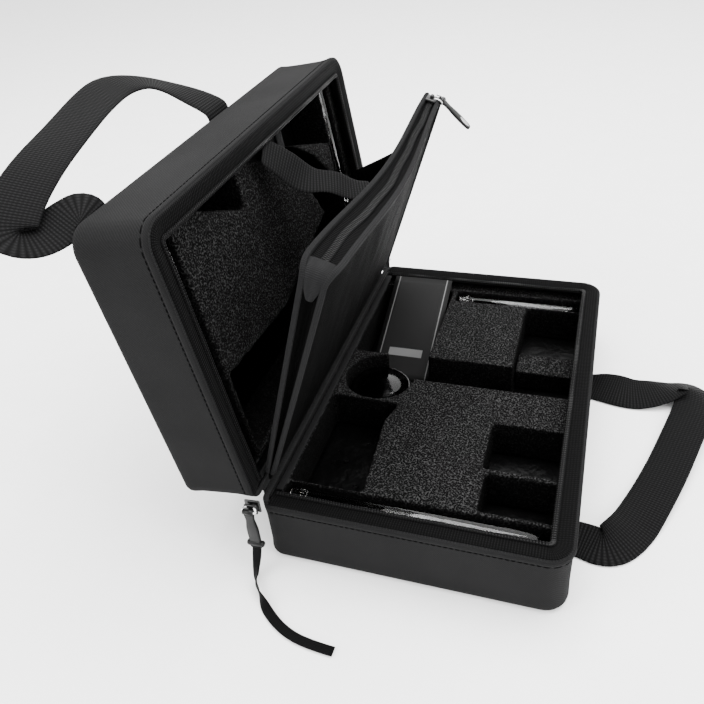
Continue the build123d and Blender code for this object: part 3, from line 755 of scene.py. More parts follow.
def lining_walls(body, depth, place):
    """The lining cloth on the inside of the walls, slightly puckered."""
    inset = WALL + 0.5
    bm = bmesh.new()
    course = [point - outward * inset for point, outward in rim_course(-72.0)]
    hinge_side = [Vector((-HALF_WIDTH + inset, y, 0)) for y in steps(HALF_LENGTH - 8, 8 - HALF_LENGTH, 4.0)]
    ring = course + hinge_side
    facings = []
    for n, point in enumerate(ring):
        run = ring[(n + 1) % len(ring)] - ring[n - 1]
        facings.append(Vector((run.y, -run.x, 0)).normalized())
    heights = [(0, h) for h in steps(TRAY_FLOOR - 3, depth - RIM_DROP - 0.9, 4.0)]
    sweep(bm, heights, [set_out(p, f, UP) for p, f in zip(ring, facings)], closed=False, looped=True)
    bm.normal_update()
    for corner in bm.verts:
        corner.co += corner.normal * noise.noise(corner.co / 9) * 0.35
    piece = finish_piece(bm, f"{body}_lining_cloth", place, lining_cloth, body, [f"{body}_lining"])
    thicken(piece, 0.6, 0.0)


def foam_floor(body, place):
    """The bottom foam: the tray's inner outline, cut into a grid and dented."""
    low, high = 5.2, TRAY_FLOOR - 0.05
    half_width, half_length = HALF_WIDTH - FOAM_INSET, HALF_LENGTH - FOAM_INSET
    bm = bmesh.new()
    block(bm, (2 * half_width, 2 * half_length, high - low), at(0, 0, (low + high) / 2))
    round_upright(bm, -half_width, HINGE_CORNER - FOAM_INSET, 6)
    round_upright(bm, half_width, FREE_CORNER - FOAM_INSET, 6)
    cut_across(bm, 0, steps(-72, 72, 6.0))
    cut_across(bm, 1, steps(-115, 115, 6.0))
    for corner in bm.verts:
        if corner.co.z > 7:
            corner.co.z -= 0.1 + abs(noise.noise(corner.co / 14)) * 0.5
    piece = finish_piece(bm, f"{body}_bottom_foam", place, floor_foam, body, [f"{body}_floor_foam"])


def cut_foam(node, body, place, name, seed):
    """A die-cut foam block: the plain block made again in fine cells, its cut edges softened."""
    piece = add_object(name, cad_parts[node].data.copy())
    piece.data.materials.clear()
    piece.data.materials.append(tray_foam)
    bm = bmesh.new()
    bm.from_mesh(piece.data)
    bmesh.ops.remove_doubles(bm, verts=bm.verts, dist=1e-6)
    bm.to_mesh(piece.data)
    bm.free()
    cells = piece.modifiers.new("cells", "REMESH")
    cells.mode = "VOXEL"
    cells.voxel_size = 1.3 * MM
    cells.use_smooth_shade = True
    sink_in(piece)
    bm = bmesh.new()
    bm.from_mesh(piece.data)
    bmesh.ops.smooth_vert(bm, verts=bm.verts, factor=0.4, use_axis_x=True, use_axis_y=True, use_axis_z=True)
    bm.normal_update()
    facing = (place.to_3x3() @ UP).normalized()
    # How far each point faces the tray's top; the foam's colour is painted darker as shade where this is low.
    unshaded_top = bm.verts.layers.float.new("unshaded_top")
    for corner in bm.verts:
        corner[unshaded_top] = min(1.0, max(0.0, corner.normal.dot(facing) * 1.6 - 0.5))
        spot = corner.co * 1000 + Vector((seed, 0, 0))
        rough = noise.noise(spot / 18) * 0.25 + noise.noise(spot / 2.6) * 0.16 - 0.1
        corner.co += corner.normal * rough * MM
    bm.to_mesh(piece.data)
    bm.free()
    piece.data.polygons.foreach_set("use_smooth", [True] * len(piece.data.polygons))
    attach(piece, body)
    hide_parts(node)


def hinge_edge_binding(body, depth, place):
    """Binding tape over the raw edge along the hinge."""
    bm = bmesh.new()
    ys = steps(-111.5, 111.5, 4.0)
    lifts = [noise.noise(Vector((y / 20, 0, 0))) * 0.25 for y in ys]
    line = [Vector((-HALF_WIDTH + 6.5, y, depth - 2.1 + lift)) for y, lift in zip(ys, lifts)]
    sweep(bm, strap_profile(4.2, 1.0, 0.2), laid_along(line, [UP] * len(line)))
    finish_piece(bm, f"{body}_edge_binding", place, binding_cloth, body, [f"{body}_hinge_binding"],
                 closed=True)


for body, depth, place in TRAYS:
    shell(body, depth, place)
    rim_strip(body, depth, place)
    zip_edge(body, depth, place)
    lining_walls(body, depth, place)
    foam_floor(body, place)
    hinge_edge_binding(body, depth, place)
    for board_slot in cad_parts[f"{body}_board"].material_slots:
        board_slot.material = board_card

cut_foam("base_foam_tray", "base", IN_BASE, "base_cut_foam", 0.0)
cut_foam("base_foam_riser", "base", IN_BASE, "base_foam_step", 40.0)
cut_foam("lid_foam_tray", "lid", IN_LID, "lid_cut_foam", 80.0)
cut_foam("lid_foam_wedge", "lid", IN_LID, "lid_foam_island", 120.0)


# Tubes and pot

TUBE_RADIUS, TUBE_WALL = 5.5, 0.7
CAP_LENGTH, NECK_LENGTH, NECK_RADIUS = 11.0, 8.0, 4.6
TUBE_AXIS_Y = 104.75
tubes = {
    "base_front": (BASE_DEPTH, (8.0, 143.0), -1, "base", IN_BASE),
    "base_back": (BASE_DEPTH, (62.0, 146.0), 1, "base", IN_BASE),
    "lid_front": (LID_DEPTH, (12.0, 138.0), -1, "lid", IN_LID),
    "lid_back": (LID_DEPTH, (64.0, 146.0), 1, "lid", IN_LID),
}


def tube_line(depth, side, start):
    """Upright things turned to lie along x at a tube's start."""
    z = depth - FOAM_RECESS - TUBE_RADIUS - 0.5
    return at(-HALF_WIDTH + start, side * TUBE_AXIS_Y, z) @ turned("Y")


def ribs_round(bm, middle, count, out, height, size):
    """Raised ribs round a cap."""
    for n in range(count):
        block(bm, size, middle @ turned("Z", 360 * n / count) @ at(out, 0, height))


def clear_tube(name, depth, along, side, body, place):
    line = tube_line(depth, side, along[0])
    length = along[1] - along[0]
    shoulder, neck = CAP_LENGTH + 0.1, CAP_LENGTH - NECK_LENGTH
    bore = NECK_RADIUS - TUBE_WALL
    threads = [(NECK_RADIUS - 0.15 + 0.15 * (n % 2), neck + 0.6 + 0.75 * n) for n in range(9)]
    profile = [(bore, neck), (NECK_RADIUS - 0.2, neck)] + threads
    profile += [(NECK_RADIUS, shoulder), (TUBE_RADIUS - 0.3, shoulder), (TUBE_RADIUS, shoulder + 0.4),
                (TUBE_RADIUS, length - 0.5), (TUBE_RADIUS - 0.5, length), (0, length)]
    profile += [(0, length - TUBE_WALL), (TUBE_RADIUS - TUBE_WALL, length - TUBE_WALL),
                (TUBE_RADIUS - TUBE_WALL, shoulder + 1.2), (bore, shoulder), (bore, neck)]
    bm = bmesh.new()
    spun(bm, profile, line)
    finish_piece(bm, f"{name}_clear_tube", place, clear_plastic, body, [f"{name}_tube"],
                 closed=True)
    cap = bmesh.new()
    socket = NECK_RADIUS + 0.1
    waist = TUBE_RADIUS - 0.18
    profile = [(0, 0), (TUBE_RADIUS - 0.5, 0), (TUBE_RADIUS, 0.5), (TUBE_RADIUS, 1.4), (waist, 1.6),
               (waist, CAP_LENGTH - 1.6), (TUBE_RADIUS, CAP_LENGTH - 1.4), (TUBE_RADIUS, CAP_LENGTH),
               (socket, CAP_LENGTH), (socket, 2.5), (0, 2.5)]
    spun(cap, profile, line, 36)
    ribs_round(cap, line, 18, TUBE_RADIUS - 0.2, CAP_LENGTH / 2, (0.36, 0.5, CAP_LENGTH - 3.4))
    finish_piece(cap, f"{name}_screw_cap", place, clear_plastic, f"{name}_cap", [f"{name}_tube_cap"],
                 closed=True)


for name, (depth, along, side, body, place) in tubes.items():
    clear_tube(name, depth, along, side, body, place)


def pot():
    middle = at(-50.0, 1.5, TRAY_FLOOR + 0.1)
    bm = bmesh.new()
    profile = [(0, 0.4), (14.5, 0.4), (15.2, 0), (17.6, 0), (18.5, 0.9), (18.5, 8), (18.2, 8.6), (18.2, 9.2),
               (18.5, 9.6), (18.2, 10.2), (18.5, 10.8), (18.2, 11.4), (18.2, 14.6), (17.8, 15), (17.4, 14.6),
               (17.3, 2.2), (16.6, 1.4), (0, 1.3)]
    spun(bm, profile, middle, 64)
    finish_piece(bm, "pot", IN_BASE, pot_plastic, "base", ["jar"], closed=True)
    lid = bmesh.new()
    profile = [(0, 16.9), (11, 16.9), (11.6, 16.6), (17.4, 16.6), (18.0, 16.9), (19.0, 16.7), (19.7, 16.0),
               (19.8, 15.2), (19.8, 8.6), (19.4, 8.1), (18.7, 8.1), (18.7, 15.1), (0, 15.15)]
    spun(lid, profile, middle, 64)
    ribs_round(lid, middle, 60, 19.72, 11.8, (0.4, 0.9, 6.4))
    finish_piece(lid, "pot_lid", IN_BASE, smoked_plastic, "jar_lid", ["jar_lid"],
                 closed=True)


pot()


def leaning_card():
    """A thin card, slightly bowed, leaning in its recess."""
    bm = bmesh.new()
    bmesh.ops.create_grid(bm, x_segments=8, y_segments=16, size=0.5)
    bmesh.ops.transform(bm, matrix=at(0, 44, 0) @ Matrix.Diagonal((43, 88, 1, 1)), verts=bm.verts)
    along, across = measures(bm)
    for corner in bm.verts:
        corner[across], corner[along] = corner.co.x, corner.co.y
        corner.co.z += 0.25 * math.cos(corner.co.x / 21.5 * math.pi / 2) - 0.25
    bm.transform(at(-46, 29, 9.5) @ turned("X", 22))
    thicken(finish_piece(bm, "plain_card", IN_BASE, grey_card, "card", ["card"]), 0.5, 0.0)


leaning_card()


# Divider pouch, made lying in the hinge plane

POUCH_START, POUCH_REACH, POUCH_END = 11.0, 144.6, 112.4
PANEL_INSET = 1.5


def pouch_half_width(y):
    """Half the pouch's width at its top: full and rounded at the front, slimmer towards the back."""
    if y < -97.0:
        share = min((-97.0 - y) / 15.4, 1.0)
        return 4.4 + 4.0 * math.sqrt(1 - share * share)
    back = (y + 97.0) / (97.0 + POUCH_END)
    return 8.4 - 3.4 * back * back * (3 - 2 * back)


def pouch_rise(along, y):
    """The panels' distance from the pouch's middle."""
    share = (along - POUCH_START) / (POUCH_REACH - POUCH_START)
    top = pouch_half_width(y)
    belly = 0.9 * math.sin(math.pi * min(max(share, 0), 1)) * math.cos(y / POUCH_END * math.pi / 2)
    return 2.0 + (top - 2.0) * max(share, 0) ** 0.8 + belly


def pouch_bow(along, y):
    """How far the slack pouch leans towards the base, and how far its top edge sinks, at its middle."""
    share = max(0.0, (along - POUCH_START) / (POUCH_REACH - POUCH_START))
    middle = math.cos(y / POUCH_END * math.pi / 2) ** 2
    return 5.0 * middle * share ** 1.5, 4.0 * middle * share ** 2


def in_pouch(along, y, rise):
    lean, sink = pouch_bow(along, y)
    return Vector((along - sink - HALF_WIDTH, y, HINGE_Z + rise - lean))


def crumple(piece):
    """Give the soft pouch piece a mesh of its own."""
    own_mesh(piece)


def pouch_panel(name, node, side, seed):
    bm = bmesh.new()
    bmesh.ops.create_grid(bm, x_segments=34, y_segments=56, size=0.5)
    reach = POUCH_REACH - PANEL_INSET
    size = (reach - POUCH_START, 2 * (POUCH_END - PANEL_INSET))
    middle = (reach + POUCH_START) / 2 - HALF_WIDTH
    bmesh.ops.transform(bm, matrix=at(middle, 0, 0) @ Matrix.Diagonal((*size, 1, 1)), verts=bm.verts)
    along, across = measures(bm)
    for corner in bm.verts:
        x, y = corner.co.x + HALF_WIDTH, corner.co.y
        corner[along], corner[across] = y, x
        fold = noise.noise(Vector((x / 55 + seed, y / 16 + x / 40, 0))) * 1.0
        crease = noise.noise(Vector((x / 30 + y / 25, y / 9, seed))) * 0.45
        edge = min(1.0, (x - POUCH_START) / 8, (reach - x) / 6, (POUCH_END - PANEL_INSET - abs(y)) / 6)
        edge = max(edge, 0.0)
        corner.co = in_pouch(x, y, side * (pouch_rise(x, y) - 0.2 + (fold + crease - 0.5) * edge))
    if side < 0:
        bmesh.ops.reverse_faces(bm, faces=bm.faces)
    piece = finish_piece(bm, name, IN_DIVIDER, panel_cloth, "divider", [node])
    crumple(sink_in(round_off(thicken(piece, 1.2))))


def pouch_edge_line():
    """Round the pouch: up the front end, along the top and down the back end, as along and y."""
    side_y, top, bend = POUCH_END - 0.9, POUCH_REACH - 0.9, 6.0
    line = [(a, -side_y) for a in steps(POUCH_START, top - bend, 4.0)]
    turns = steps(0, math.pi / 2, 0.2)
    line += [(top - bend + bend * math.sin(t), -side_y + bend - bend * math.cos(t)) for t in turns]
    line += [(top, y) for y in steps(-side_y + bend + 3, side_y - bend - 3, 4.0)]
    line += [(top - bend + bend * math.cos(t), side_y - bend + bend * math.sin(t)) for t in turns]
    return line + [(a, side_y) for a in steps(top - bend - 4, POUCH_START, 4.0)]


def pouch_binding(name, node, side):
    """Binding tape folded over a panel's raw edge."""
    line = pouch_edge_line()
    points = [in_pouch(a, y, side * (pouch_rise(a, y) - 0.7)) for a, y in line]
    bm = bmesh.new()
    sweep(bm, strap_profile(3.4, 2.3, 0.25), laid_along(points, [UP * side] * len(points)))
    crumple(finish_piece(bm, name, IN_DIVIDER, binding_cloth, "divider", [node], closed=True))


def scaled_place(middle, sideways, up, half):
    turn = Matrix((sideways * half, up, sideways.cross(up))).transposed()
    return Matrix.Translation(middle) @ turn.to_4x4()


def pouch_ends():
    """The folded cloth that closes the pouch's two ends."""
    bm = bmesh.new()
    for end in (-1, 1):
        places = []
        for a in steps(POUCH_START + 2, POUCH_REACH - 4, 5.0):
            y = end * (POUCH_END - 1.2)
            half = pouch_rise(a, y) - 1.2
            places.append(scaled_place(in_pouch(a, y, 0), UP, Vector((0, end, 0)), half))
        section = [(-1, 0), (-0.7, -0.5), (-0.35, -2.0), (0, -3.2), (0.35, -2.0), (0.7, -0.5), (1, 0)]
        sweep(bm, section, places, closed=False)
    piece = finish_piece(bm, "pouch_end_cloth", IN_DIVIDER, panel_cloth, "divider", ["divider_end_gussets"])
    crumple(sink_in(round_off(thicken(piece, 0.8, 0.0))))


def pouch_front_patch():
    """The binding cloth that wraps the pouch's front corner at the end of its zip."""
    bm = bmesh.new()
    line = [(a, -POUCH_END + 0.3) for a in steps(129.0, 139.0, 2.0)]
    turns = steps(0.3, math.pi / 2, 0.3)
    line += [(139.0 + 4.6 * math.sin(t), -POUCH_END + 4.9 - 4.6 * math.cos(t)) for t in turns]
    line += [(143.6, y) for y in (-105.5, -103.5, -101.5)]
    places = []
    for n, (a, y) in enumerate(line):
        before, after = line[max(n - 1, 0)], line[min(n + 1, len(line) - 1)]
        ahead = Vector((after[0] - before[0], after[1] - before[1], 0)).normalized()
        outward = UP.cross(ahead)
        width = pouch_rise(min(a, 143), max(y, -POUCH_END)) * min(1.0, 0.35 + (a - 129.0) / 12) - 0.2
        places.append(scaled_place(in_pouch(a, y, 0), UP, -outward, width))
    section = [(-1, -0.3), (-0.6, 0.25), (-0.2, 0.45), (0.2, 0.45), (0.6, 0.25), (1, -0.3)]
    sweep(bm, section, places, closed=False)
    piece = finish_piece(bm, "pouch_corner_patch", IN_DIVIDER, binding_cloth, "divider")
    crumple(sink_in(round_off(thicken(piece, 0.8, 0.0))))


def pouch_zip():
    """The pouch's tape from panel to panel, with the coil down its middle."""
    low = POUCH_REACH - 2.6
    ys = steps(-103.0, 108.0, 3.0)
    tape = bmesh.new()
    places = [scaled_place(in_pouch(low, y, 0), UP, Vector((1, 0, 0)), pouch_half_width(y) - 1.0) for y in ys]
    section = [(-1, 0.6), (-0.75, -0.4), (-0.4, -0.8), (-0.15, -0.3), (0, -0.2), (0.15, -0.3), (0.4, -0.8),
               (0.75, -0.4), (1, 0.6)]
    sweep(tape, section, places, closed=False)
    piece = finish_piece(tape, "pouch_zip_cloth", IN_DIVIDER, tape_cloth, "divider", ["divider_zip_tape"])
    crumple(sink_in(thicken(piece, 0.6, 0.0)))

    def coil_wander(y):
        return 0.5 * math.sin(y / 17) + 0.3 * math.sin(y / 6.5)

    coil = bmesh.new()
    for y in steps(-102.0, 106.0, 1.5):
        for side in (-1, 1):
            middle = in_pouch(low + 0.5, y + 0.35 * side, coil_wander(y) + side * 0.8)
            block(coil, (1.7, 0.9, 0.62), set_out(middle, UP, Vector((1, 0, 0))))
    crumple(finish_piece(coil, "pouch_coil", IN_DIVIDER, coil_nylon, "divider", ["divider_zip_coil"],
                         closed=True))
    seams = bmesh.new()
    for side in (-1, 1):
        points = [in_pouch(low + 0.55, y, coil_wander(y) + side * 1.7) for y in ys]
        sweep(seams, rod_profile(0.28, 6), laid_along(points, [Vector((1, 0, 0))] * len(points)))
    crumple(finish_piece(seams, "pouch_coil_stitching", IN_DIVIDER, thread, "divider",
                         closed=True))


def pouch_foot():
    """The flap that joins the pouch to the hinge seam."""
    bm = bmesh.new()
    points = [in_pouch(a, 0, 0.3 * math.sin(a)) for a in steps(4.5, 13.0, 1.5)]
    places = [scaled_place(p, ALONG, UP, 111.0) for p in points]
    sweep(bm, [(share, 0) for share in steps(-1, 1, 0.05)], places, closed=False)
    piece = finish_piece(bm, "pouch_foot_flap", IN_DIVIDER, panel_cloth, "divider", ["divider_flap"])
    thicken(piece, 1.1, 0.0)


for side, label in ((-1, "base"), (1, "lid")):
    pouch_panel(f"pouch_{label}_panel", f"divider_{label}_panel", side, side * 7.0)
    pouch_binding(f"pouch_{label}_binding", f"divider_{label}_binding", side)
pouch_ends()
pouch_front_patch()
pouch_zip()
pouch_foot()


# Sliders and pulls

BAIL_WIRE = 0.6
POUCH_SLIDER_Y = 101.0
POUCH_PIN = (145.6, -7.0)
PULL_WIDTH = 6.5
MAIN_PIN_OUT = 132.25


def wire_bail(bm, points):
    facings = [(points[2] - points[0]).cross(points[-1] - points[0]).normalized()] * len(points)
    sweep(bm, rod_profile(BAIL_WIRE), laid_along(points, facings))


def pouch_slider():
    y = POUCH_SLIDER_Y
    low = POUCH_REACH - 1.9
    bm = bmesh.new()
    soft_block(bm, (2.0, 9.0, 7.0), at(low + 1.6 - HALF_WIDTH, y, HINGE_Z), 0.9)
    soft_block(bm, (2.6, 3.2, 2.4), at(low + 3.2 - HALF_WIDTH, y, HINGE_Z), 0.8)
    finish_piece(bm, "pouch_slider_body", IN_DIVIDER, slider_metal, "divider_slider", ["divider_slider"],
                 closed=True)
    bail = bmesh.new()
    pin_along, pin_rise = POUCH_PIN
    for side in (-1, 1):
        line = smooth_line([in_pouch(146.5, y + side * 3.4, -2.0), in_pouch(147.3, y + side * 3.6, -5.0),
                            in_pouch(pin_along + 0.2, y + side * 3.6, pin_rise - 0.2)], 6)
        wire_bail(bail, line)
    across = [in_pouch(pin_along, y + s, pin_rise) for s in (-3.8, 0, 3.8)]
    sweep(bail, rod_profile(BAIL_WIRE), laid_along(across, [UP] * 3))
    finish_piece(bail, "pouch_slider_wire", IN_DIVIDER, steel_wire, "divider_slider", ["divider_slider_bail"],
                 closed=True)


def pull_shape(length, thickness):
    """A moulded pull hanging from its eye: a waisted tab with a rounded end."""
    bm = bmesh.new()
    soft_block(bm, (PULL_WIDTH, thickness, length - 1), at(0, 0, -length / 2 - 0.5), 0.6)
    cut_across(bm, 2, steps(-length + 2, -2, 2.0))
    for corner in bm.verts:
        share = -corner.co.z / length
        waist = 1 - 0.28 * math.exp(-((share - 0.22) / 0.16) ** 2)
        tip = math.sqrt(max(0.05, 1 - max(0.0, (share - 0.84) / 0.17) ** 2))
        corner.co.x *= waist * tip
        corner.co.y *= 1 + 0.25 * math.exp(-((share - 0.55) / 0.3) ** 2)
    pull_eye(bm)
    return bm


def pull_eye(bm):
    """The eye ring, its hole round the pin along x."""
    ring = [Vector((0, 1.08 * math.cos(t), 1.08 * math.sin(t))) for t in steps(0, 2 * math.pi, 0.4)]
    places = [set_out(p, Vector((1, 0, 0)), p.normalized()) for p in ring[:-1]]
    half = PULL_WIDTH / 2 - 0.2
    sweep(bm, [(-half, -0.25), (half, -0.25), (half, 0.42), (-half, 0.42)], places, looped=True)


def pouch_pull():
    bm = pull_shape(24.0, 1.5)
    oval = bmesh.new()
    spun(oval, [(0, 0.55), (0.7, 0.5), (0.95, 0.25), (1, 0)], Matrix.Identity(4), 24)
    pin_along, pin_rise = POUCH_PIN
    pin = swung(DIVIDER_OPEN) @ (in_pouch(pin_along, POUCH_SLIDER_Y, pin_rise) * MM)
    hang = Matrix.Translation(pin) @ turned("Y", -45) @ turned("Z") @ IN_BASE
    finish_piece(bm, "pouch_pull_tab", hang, pull_plastic, "divider_pull", ["divider_pull"],
                 closed=True)
    oval.transform(at(0, -0.55, -18.5) @ turned("X") @ Matrix.Diagonal((2.3, 4.2, 1, 1)))
    finish_piece(oval, "pouch_pull_oval", hang, steel_wire, "divider_pull", closed=True)


def main_slider(name, side):
    """A slider at the hinge corner with its wire bail."""
    x, z = -82.0, HINGE_Z
    face = 126.15 * side
    bm = bmesh.new()
    soft_block(bm, (9.0, 1.3, 8.4), at(x, face + side * 0.7, z), 0.6)
    soft_block(bm, (7.4, 1.2, 6.6), at(x, face + side * 3.2, z), 0.55)
    soft_block(bm, (3.2, 3.0, 4.0), at(x + 1.6, face + side * 2.0, z), 0.6)
    for corner in bm.verts:
        corner.co.z = z + (corner.co.z - z) * (1 - 0.22 * max(0.0, (x + 1 - corner.co.x) / 5.5))
    finish_piece(bm, f"{name}_slider_body", IN_BASE, slider_metal, f"{name}_slider", [f"{name}_slider"],
                 closed=True)
    bail = bmesh.new()
    pin_y, pin_z = side * MAIN_PIN_OUT, 43.5
    for hand in (-1, 1):
        line = smooth_line([Vector((x + hand * 2.2, face + side * 3.6, z + 1.6)),
                            Vector((x + hand * 3.7, face + side * 4.6, z + 1.8)),
                            Vector((x + hand * 3.9, pin_y, pin_z))], 6)
        wire_bail(bail, line)
    across = [Vector((x + s, pin_y, pin_z)) for s in (-4.1, 0, 4.1)]
    sweep(bail, rod_profile(BAIL_WIRE), laid_along(across, [UP] * 3))
    finish_piece(bail, f"{name}_slider_wire", IN_BASE, steel_wire, f"{name}_slider", [f"{name}_slider_bail"],
                 closed=True)
    pull = pull_shape(26.0, 2.0)
    soft_block(pull, (10.0, 3.4, 3.0), at(0, 0, -24.5), 1.1)
    hang = IN_BASE @ at(x, pin_y, pin_z)
    finish_piece(pull, f"{name}_pull_tab", hang, pull_plastic, f"{name}_pull", [f"{name}_pull"],
                 closed=True)


pouch_slider()
pouch_pull()
main_slider("front", -1)
main_slider("back", 1)


# Ribbon tail on the front pull

RIBBON_WIDTH, RIBBON_THICKNESS = 5.5, 0.7
ribbon_route = [(-82.0, -132.25, 16.1), (-82.5, -133.75, 9.5), (-81.5, -140.75, 2.4),
                (-76.0, -150.25, 1.3), (-67.0, -159.25, 1.25), (-55.0, -167.25, 1.25),
                (-41.0, -171.25, 1.25), (-26.0, -171.75, 1.25)]


def kept_off_ground(place, half_width, clear):
    """A band's place, raised where its edge would reach below the ground."""
    reach = half_width * abs((place.to_3x3() @ Vector((1, 0, 0))).z) + clear
    return at(0, 0, max(0.0, reach - place.translation.z)) @ place


def ribbon_tail():
    """A limp flat ribbon that turns on itself as it reaches the ground."""
    line = even(smooth_line(ribbon_route, 24), 1.6)
    facings = []
    for n in range(len(line)):
        share = n / (len(line) - 1)
        twist = math.radians(100) * math.exp(-((share - 0.3) / 0.13) ** 2)
        ahead = heading(line, n)
        lying = min(1.0, max(0.0, (0.9 - abs(ahead.z)) / 0.5))
        side = ahead.cross((-ALONG).lerp(UP, lying)).normalized()
        facings.append(Matrix.Rotation(twist, 3, ahead) @ side.cross(ahead))
    places = [kept_off_ground(place, RIBBON_WIDTH / 2, 0.5) for place in laid_along(line, facings)]
    bm = bmesh.new()
    sweep(bm, strap_profile(RIBBON_WIDTH, RIBBON_THICKNESS), places)
    piece = finish_piece(bm, "ribbon_tail_cloth", IN_BASE, ribbon_cloth, "front_slider", ["ribbon_tail"],
                         closed=True)
    knot = bmesh.new()
    soft_block(knot, (7.0, 3.0, 3.4), at(-82.0, -MAIN_PIN_OUT, 17.4), 1.2)
    finish_piece(knot, "ribbon_knot", IN_BASE, ribbon_cloth, "front_pull", closed=True)


ribbon_tail()


# Handles

HANDLE_PIVOT, BEND_OUT = 83.0, 81.5
SEWN_Z = 0.95
SEWN_FROM, SEWN_TO = 31.0, 79.0
BOX_FROM, BOX_TO = 34.0, 74.0


def box_stitching(bm, y):
    """A stitched box with a cross on a sewn end: runs of raised thread, from corner to corner."""
    half = STRAP_WIDTH / 2 - 3.0
    z = SEWN_Z - STRAP_THICKNESS / 2 - 0.1
    a, b, c, d = (Vector((x, y + side, z)) for side in (-half, half) for x in (BOX_FROM, BOX_TO))
    for start, end in ((a, b), (c, d), (a, c), (b, d), (a, d), (c, b)):
        count = max(3, round((end - start).length / 3.0))
        for n in range(count):
            first, last = start.lerp(end, (n + 0.12) / count), start.lerp(end, (n + 0.88) / count)
            middle = (first + last) / 2 - UP * 0.15
            sweep(bm, rod_profile(0.3, 5), laid_along([first, middle, last], [-UP] * 3))


def handle(name, body, place, loop, raised, rolls):
    """A webbing handle: sewn ends on the big face, bends outside the free wall, and the loop."""
    turn = Matrix.Rotation(math.radians(raised), 4, "Y")
    pivot = Vector((HANDLE_PIVOT, 0, STRAP_THICKNESS / 2))
    raised_place = Matrix.Translation(pivot) @ turn @ Matrix.Translation(-pivot)
    low_y, high_y = HANDLE_ENDS[body]
    first = [Vector((x, low_y, SEWN_Z)) for x in steps(SEWN_FROM, SEWN_TO, 3.0)]
    last = [Vector((x, high_y, SEWN_Z)) for x in steps(SEWN_TO, SEWN_FROM, 3.0)]
    middle = [raised_place @ Vector(p) for p in loop]
    bend_in = Vector((BEND_OUT, low_y, SEWN_Z))
    bend_out = Vector((BEND_OUT, high_y, SEWN_Z))
    curve = even(smooth_line([first[-1], bend_in] + middle + [bend_out, last[0]], 20), 3.0)
    points = first[:-1] + curve + last[1:]
    facings = []
    for n in range(len(points)):
        beyond = min(1.0, max(0.0, n - len(first) + 2) / 4, max(0.0, len(points) - len(last) - n + 1) / 4)
        swing = Matrix.Rotation(math.radians(raised) * beyond, 3, "Y")
        share = (n - len(first)) / max(1, len(curve))
        roll = sum(amount * math.exp(-((share - spot) / spread) ** 2) for spot, spread, amount in rolls)
        rolled = Matrix.Rotation(math.radians(roll) * beyond, 3, heading(points, n))
        facings.append(rolled @ (swing @ -UP))
    places = laid_along(points, facings)
    if not raised:
        places = [kept_off_ground(spot, STRAP_WIDTH / 2, STRAP_THICKNESS / 2) for spot in places]
    bm = bmesh.new()
    sweep(bm, strap_profile(STRAP_WIDTH, STRAP_THICKNESS), places)
    piece = finish_piece(bm, f"{name}_webbing", place, strap_cloth, None, [f"{name}_ends", name],
                         closed=True)
    sink_in(round_off(piece))
    away = Vector((math.cos(math.radians(raised / 2)), 0, -math.sin(math.radians(raised / 2))))
    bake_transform(piece, body, name, start=place @ (pivot - away * 1.2), end=place @ (pivot + away * 3.5))
    stitches = bmesh.new()
    for y in (low_y, high_y):
        box_stitching(stitches, y)
    finish_piece(stitches, f"{name}_box_stitches", place, dark_thread, body, closed=True)


base_loop = [(88.0, -75.5, 1.2), (97.0, -79.0, 2.4), (108.0, -67.0, 3.4), (118.0, -42.0, 3.4),
             (128.0, -14.0, 3.6), (138.0, 20.0, 4.6), (147.0, 50.0, 5.6), (146.0, 64.0, 6.2),
             (136.0, 62.0, 6.0), (120.0, 54.0, 4.6), (104.0, 51.5, 3.2), (92.0, 55.0, 1.8)]
lid_loop = [(87.0, -105.0, -3.0), (90.0, -116.0, -8.0), (95.0, -128.0, -11.0), (103.0, -133.0, -8.0),
            (110.0, -116.0, -3.0), (117.0, -90.0, 0.85), (125.0, -56.0, 0.85), (134.0, -18.0, 0.85),
            (137.0, 8.0, 0.85), (127.0, 24.0, 0.85), (109.0, 29.0, 0.85), (92.0, 28.0, 0.85)]
# A roll is where along the handle the webbing leans, over how much of it, and by how many degrees.
base_rolls = [(0.12, 0.07, 16.0), (0.45, 0.2, -9.0), (0.7, 0.06, 30.0), (0.88, 0.08, -18.0)]
lid_rolls = [(0.5, 0.2, 8.0), (0.82, 0.08, 12.0)]
handle("base_handle", "base", IN_BASE, base_loop, 0.0, base_rolls)
handle("lid_handle", "lid", IN_LID, lid_loop, 62.0, lid_rolls)


# Straps and cloth between lid, pouch and base

def opened_spot(degrees, along, rise):
    """A point of an opened half's section, in case millimetres from the hinge."""
    turn = math.radians(degrees)
    return Vector((along * math.cos(turn) - rise * math.sin(turn) - HALF_WIDTH, 0,
                   HINGE_Z + along * math.sin(turn) + rise * math.cos(turn)))


def lid_spot(along, rise):
    return opened_spot(LID_OPEN, along, rise)


def divider_spot(along, rise):
    return opened_spot(DIVIDER_OPEN, along, rise)


def stay_strap():
    """The webbing stay, hanging slack from the lid's rim to the pouch."""
    start, end = lid_spot(147, 2.2), divider_spot(118, pouch_rise(118, -6) + 0.9)
    middle = (start + end) / 2
    route = [start, start + Vector((7, 0, -7)), middle + Vector((-8, 0, -6)), middle + Vector((6, 0, -8)),
             end + Vector((-9, 0, -1)), end]
    line = even(smooth_line(route, 20), 2.5)
    lifted = []
    for n, point in enumerate(line):
        share = n / (len(line) - 1)
        ahead = heading(line, n)
        roll = math.radians(14) * math.sin(math.pi * share)
        lifted.append(Matrix.Rotation(roll, 3, ahead) @ ALONG.cross(ahead))
        point.y = -9.0 + 26.0 * share
    bm = bmesh.new()
    sweep(bm, strap_profile(22.0, 1.3), laid_along(line, lifted))
    piece = finish_piece(bm, "stay_webbing", IN_BASE, strap_cloth, None, ["stay_strap"],
                         closed=True)
    sink_in(round_off(piece))
    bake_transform(piece, "lid", "divider", start=start * MM, end=end * MM)


